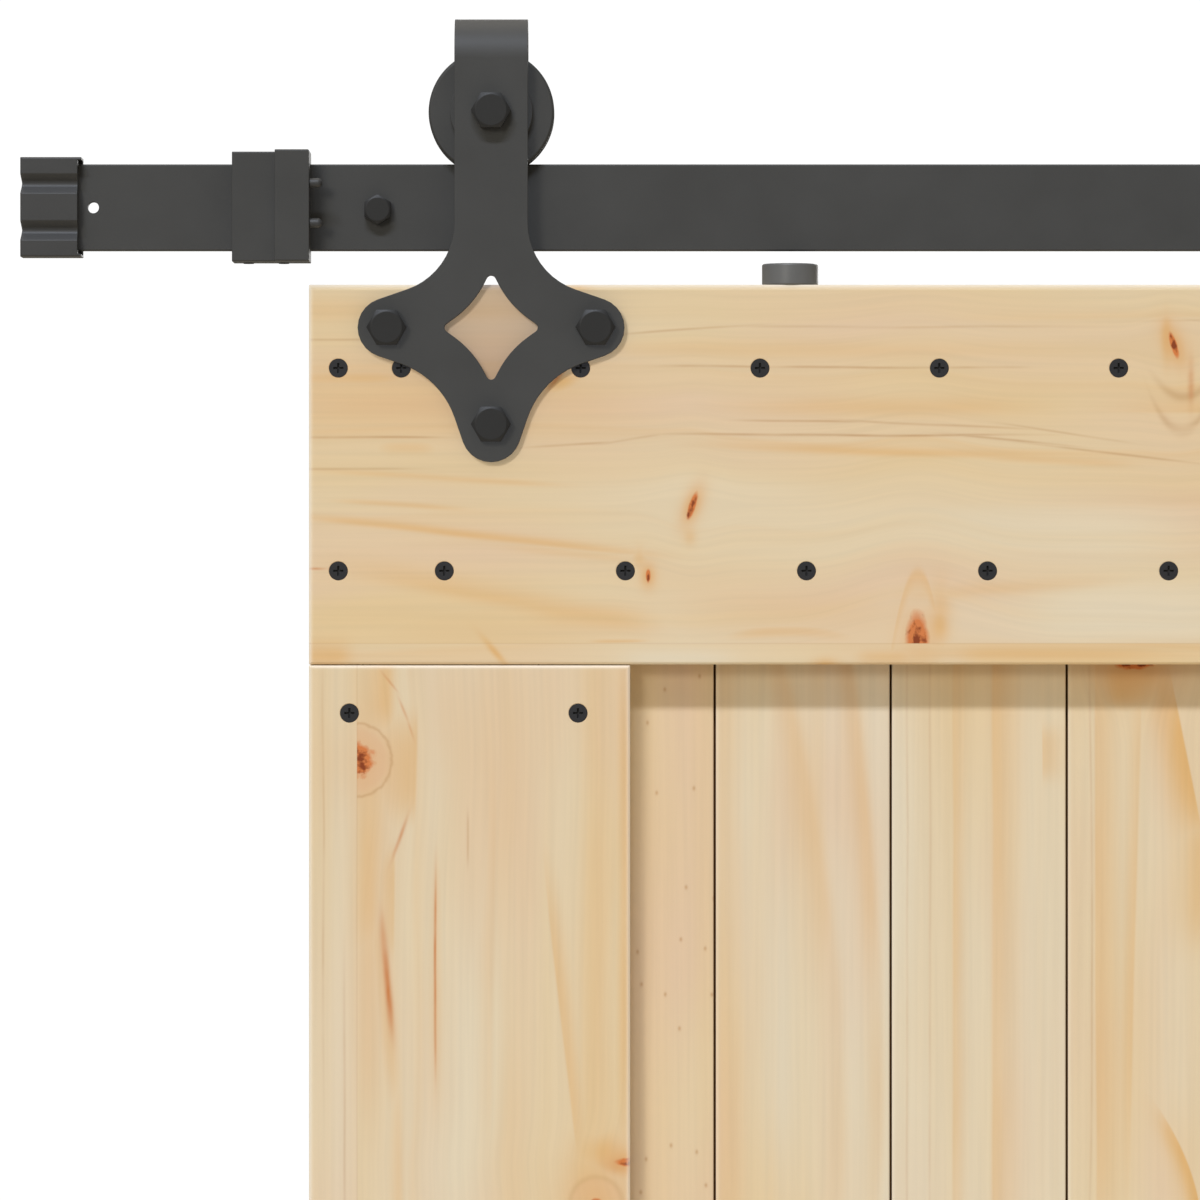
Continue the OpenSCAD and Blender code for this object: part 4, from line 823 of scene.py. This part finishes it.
def thread(shape, radius, depth, pitch, start, end, tip=0.0):
    """Helical ridge round a rod, running out to the rod's point where it has one."""
    before = len(shape.verts)
    turns = (end - start) / pitch
    inner = radius - 0.3 * MM
    corners = [(inner, -0.4 * pitch), (radius + depth, 0.0), (inner, 0.4 * pitch)]
    profile = [shape.verts.new((reach, 0.0, start + level)) for reach, level in corners]
    edges = [shape.edges.new((profile[i], profile[(i + 1) % 3])) for i in range(3)]
    steps = math.ceil(THREAD_STEPS * turns)
    bmesh.ops.spin(shape, geom=profile + edges, cent=(0, 0, 0), axis=(0, 0, 1),
                   dvec=(0, 0, (end - start) / steps), angle=2 * math.pi * turns, steps=steps)
    shape.verts.ensure_lookup_table()
    ridge = shape.verts[before:]
    open_edges = [e for e in {e for vert in ridge for e in vert.link_edges} if len(e.link_faces) == 1]
    bmesh.ops.holes_fill(shape, edges=open_edges)
    for vert in ridge:
        if tip and vert.co.z > end - tip:
            share = max(end - vert.co.z, 0.1 * tip) / tip
            vert.co = (vert.co.x * share, vert.co.y * share, min(vert.co.z, end))


def bolt_piece(name, material, body, nodes, parts):
    """One piece from shapes given as (place, facing, maker, sizes)."""
    shape = bmesh.new()
    for place, facing, maker, sizes in parts:
        put(shape, Matrix.Translation(place) @ facing, maker, *sizes)
    bmesh.ops.recalc_face_normals(shape, faces=shape.faces)
    finish_piece(name, shape, material, body, nodes, fold=28.0)


def make_bolts():
    """Hanger bolts, axle bolts with their nuts, and the lag bolts in the wall."""
    hanger, axle, nuts, wall = [], [], [], []
    bolt_r = 5 * MM
    flats = 16 * MM
    head = 6.4 * MM
    nut = 8 * MM
    past_nut = 2 * MM
    grip = 35 * MM
    ridge = 0.5 * MM
    pitch = 1.5 * MM
    for middle in AXLES:
        for across, down in ((-SIDE_BOLT_OUT, 0), (SIDE_BOLT_OUT, 0), (0, LOW_BOLT_DROP)):
            place = (middle.x + across, STRAP_FACE, PLATE_Z - down)
            hanger += [(place, FACING_ROOM, crowned_hexagon, (flats, head)),
                       (place, FACING_WALL, rod, (bolt_r, 0.0, grip))]
        place = (middle.x, STRAP_FACE, middle.z)
        end = STRAP_BACK + nut + past_nut - STRAP_FACE
        core = bolt_r - ridge
        axle += [(place, FACING_ROOM, crowned_hexagon, (flats, head)),
                 (place, FACING_WALL, rod, (core, 0.0, end)),
                 (place, FACING_WALL, thread, (core, ridge, pitch, end - 11 * MM, end - 1 * MM))]
        place = (middle.x, STRAP_BACK, middle.z)
        nuts.append((place, FACING_WALL, crowned_hexagon, (flats, nut, 0.0, bolt_r)))

    wall_r = 4 * MM
    thread_r = 3.7 * MM
    wall_flats = 12 * MM
    wall_head = 5.5 * MM
    wall_turn = math.radians(30)
    wall_ridge = 0.8 * MM
    wall_pitch = 3.2 * MM
    tip = 7.4 * MM
    shank = -RAIL_FACE
    end = shank + 45 * MM
    for x in WALL_BOLT_XS:
        place = (x, RAIL_FACE, 0.0)
        wall += [(place, FACING_ROOM, crowned_hexagon, (wall_flats, wall_head, wall_turn)),
                 (place, FACING_WALL, rod, (wall_r, 0.0, shank)),
                 (place, FACING_WALL, rod, (thread_r, shank - 2 * MM, end, tip)),
                 (place, FACING_WALL, thread, (thread_r, wall_ridge, wall_pitch, shank + 3 * MM, end, tip))]
    bolt_piece("hanger_bolt_set", black_oxide, "door", ["hanger_bolts"], hanger)
    bolt_piece("axle_bolt_set", black_oxide, "door", ["axle_bolts"], axle)
    bolt_piece("axle_nut_set", black_oxide, "door", ["axle_nuts"], nuts)
    bolt_piece("lag_bolt_set", black_oxide, "rail", ["wall_bolts"], wall)


# Each slot's finish, and how far its edges are eased; every board has a pine of its own
finishes = {
    "black_steel": (charcoal_coat, 0.25 * MM),
    "black_bolt": (black_oxide, 0.25 * MM),
    "black_screw": (black_phosphate, 0.1 * MM),
    "black_rubber": (cap_rubber, 0.3 * MM),
    "grey_nylon": (grey_nylon, 0.3 * MM),
    "bearing_steel": (ground_steel, 0.1 * MM),
    "pine": (None, 0.35 * MM),
}
made_here = {"hanger_bolts", "axle_bolts", "axle_nuts", "wall_bolts"}
for subpart in frame["record"]["subparts"]:
    node, slot = subpart["node"], subpart["material_slot"]
    finish, edge = finishes[slot]
    if node not in made_here:
        eased(node, edge, pine_of.get(node, finish))
make_bolts()


# Stage, light and camera

FLOOR_RADIUS = 3.0
WHITE_GROUND = (1.05, 1.05, 1.05, 1.0)
WORLD_GLOW = (0.31, 0.29, 0.25, 1.0)

# A wide bank of key lamps: its shadows are soft sideways and crisp up and down
KEY_SLANTS = (-0.06, 0.11, 0.28, 0.45, 0.62)
KEY_SLOPE = -1.2
KEY_STRENGTH = 2.08
KEY_SPREAD = 5.0
KEY_TINT = (0.94, 1.02, 1.18)

# The lamp that takes the place of every second key lamp on the header
CLOSE_HEADING = (0.32, 1.0, -0.42)
CLOSE_STRENGTH = 0.61

# The photo's view: straight at the door's upper left
CAMERA_PLACE = (-650.9 * MM, -3548 * MM, -180.3 * MM)
CAMERA_LENS = 228.0


def add_floor():
    shape = bmesh.new()
    bmesh.ops.create_circle(shape, cap_ends=True, segments=96, radius=FLOOR_RADIUS,
                            matrix=Matrix.Translation((0, 0, FLOOR_Z)))
    mesh = bpy.data.meshes.new("pale_floor")
    shape.to_mesh(mesh)
    shape.free()
    paint = coated("pale_floor", srgb(220, 211, 194), 0.6, 60, 0.1 * MM, specular=0.2, clouding=0.1)
    mesh.materials.append(paint)
    floor = add_object("pale_floor", mesh)


def add_sun(name, heading, strength, spread, tint=(1.0, 1.0, 1.0)):
    """Soft parallel light that travels along a heading."""
    light = bpy.data.lights.new(name, "SUN")
    light.energy = strength
    light.color = tint
    light.angle = math.radians(spread)
    lamp = add_object(name, light)
    lamp.rotation_mode = "QUATERNION"
    lamp.rotation_quaternion = Vector(heading).to_track_quat("-Z", "Y")
    return lamp


def chosen(name, pieces, state):
    """A collection of pieces that a lamp leaves out (EXCLUDE) or keeps to (INCLUDE)."""
    collection = bpy.data.collections.new(name)
    for piece in pieces:
        collection.objects.link(bpy.data.objects[piece])
    for entry in collection.collection_objects:
        entry.light_linking.link_state = state
    return collection


def light_world():
    """Even warm light from all round, with a clean white ground behind the door."""
    world = bpy.data.worlds.new("white_studio")
    world.use_nodes = True
    tree = world.node_tree
    backdrop = tree.nodes["Background"]
    seen = tree.nodes.new("ShaderNodeLightPath").outputs["Is Camera Ray"]
    tree.links.new(mix(tree, seen, WORLD_GLOW, WHITE_GROUND), backdrop.inputs["Color"])
    bpy.context.scene.world = world


def add_camera():
    data = bpy.data.cameras.new("camera")
    data.lens = CAMERA_LENS
    data.sensor_width = 36.0
    data.clip_end = 100.0
    camera = add_object("camera", data)
    camera.location = CAMERA_PLACE
    camera.rotation_euler = (math.radians(90), 0, 0)
    bpy.context.scene.camera = camera


def add_key_lights():
    """The key lamps, whose light passes the hangers, so that these throw no broad shadow on the door. The
    header has a share of it from nearly straight on, which gives the hangers' plates a short shadow."""
    lamps = []
    for number, slant in enumerate(KEY_SLANTS, 1):
        lamps.append(add_sun(f"key_light_{number}", (slant, 1.0, KEY_SLOPE), KEY_STRENGTH / len(KEY_SLANTS),
                             KEY_SPREAD, KEY_TINT))
    hangers = ["eased_hanger_left", "eased_hanger_right", "hanger_bolt_set"]
    hangers_out = chosen("hangers_left_out", hangers, "EXCLUDE")
    for lamp in lamps:
        lamp.light_linking.blocker_collection = hangers_out
    header_out = chosen("header_left_out", ["eased_header"], "EXCLUDE")
    for lamp in lamps[1::2]:
        lamp.light_linking.receiver_collection = header_out
    close_lamp = add_sun("close_light", CLOSE_HEADING, CLOSE_STRENGTH, KEY_SPREAD, KEY_TINT)
    close_lamp.light_linking.receiver_collection = chosen("header_alone", ["eased_header"], "INCLUDE")


add_floor()
add_key_lights()
add_sun("fill_light", (0.4, 1.0, -0.31), 0.6, 14.0, (1.04, 1.0, 0.9))
add_sun("top_light", (0.08, -0.3, -1.0), 0.9, 50.0, (1.06, 0.99, 0.88))
add_sun("back_light", (-0.3, -1.0, -0.25), 1.0, 40.0)
light_world()
add_camera()
bpy.context.scene.view_settings.view_transform = "Standard"
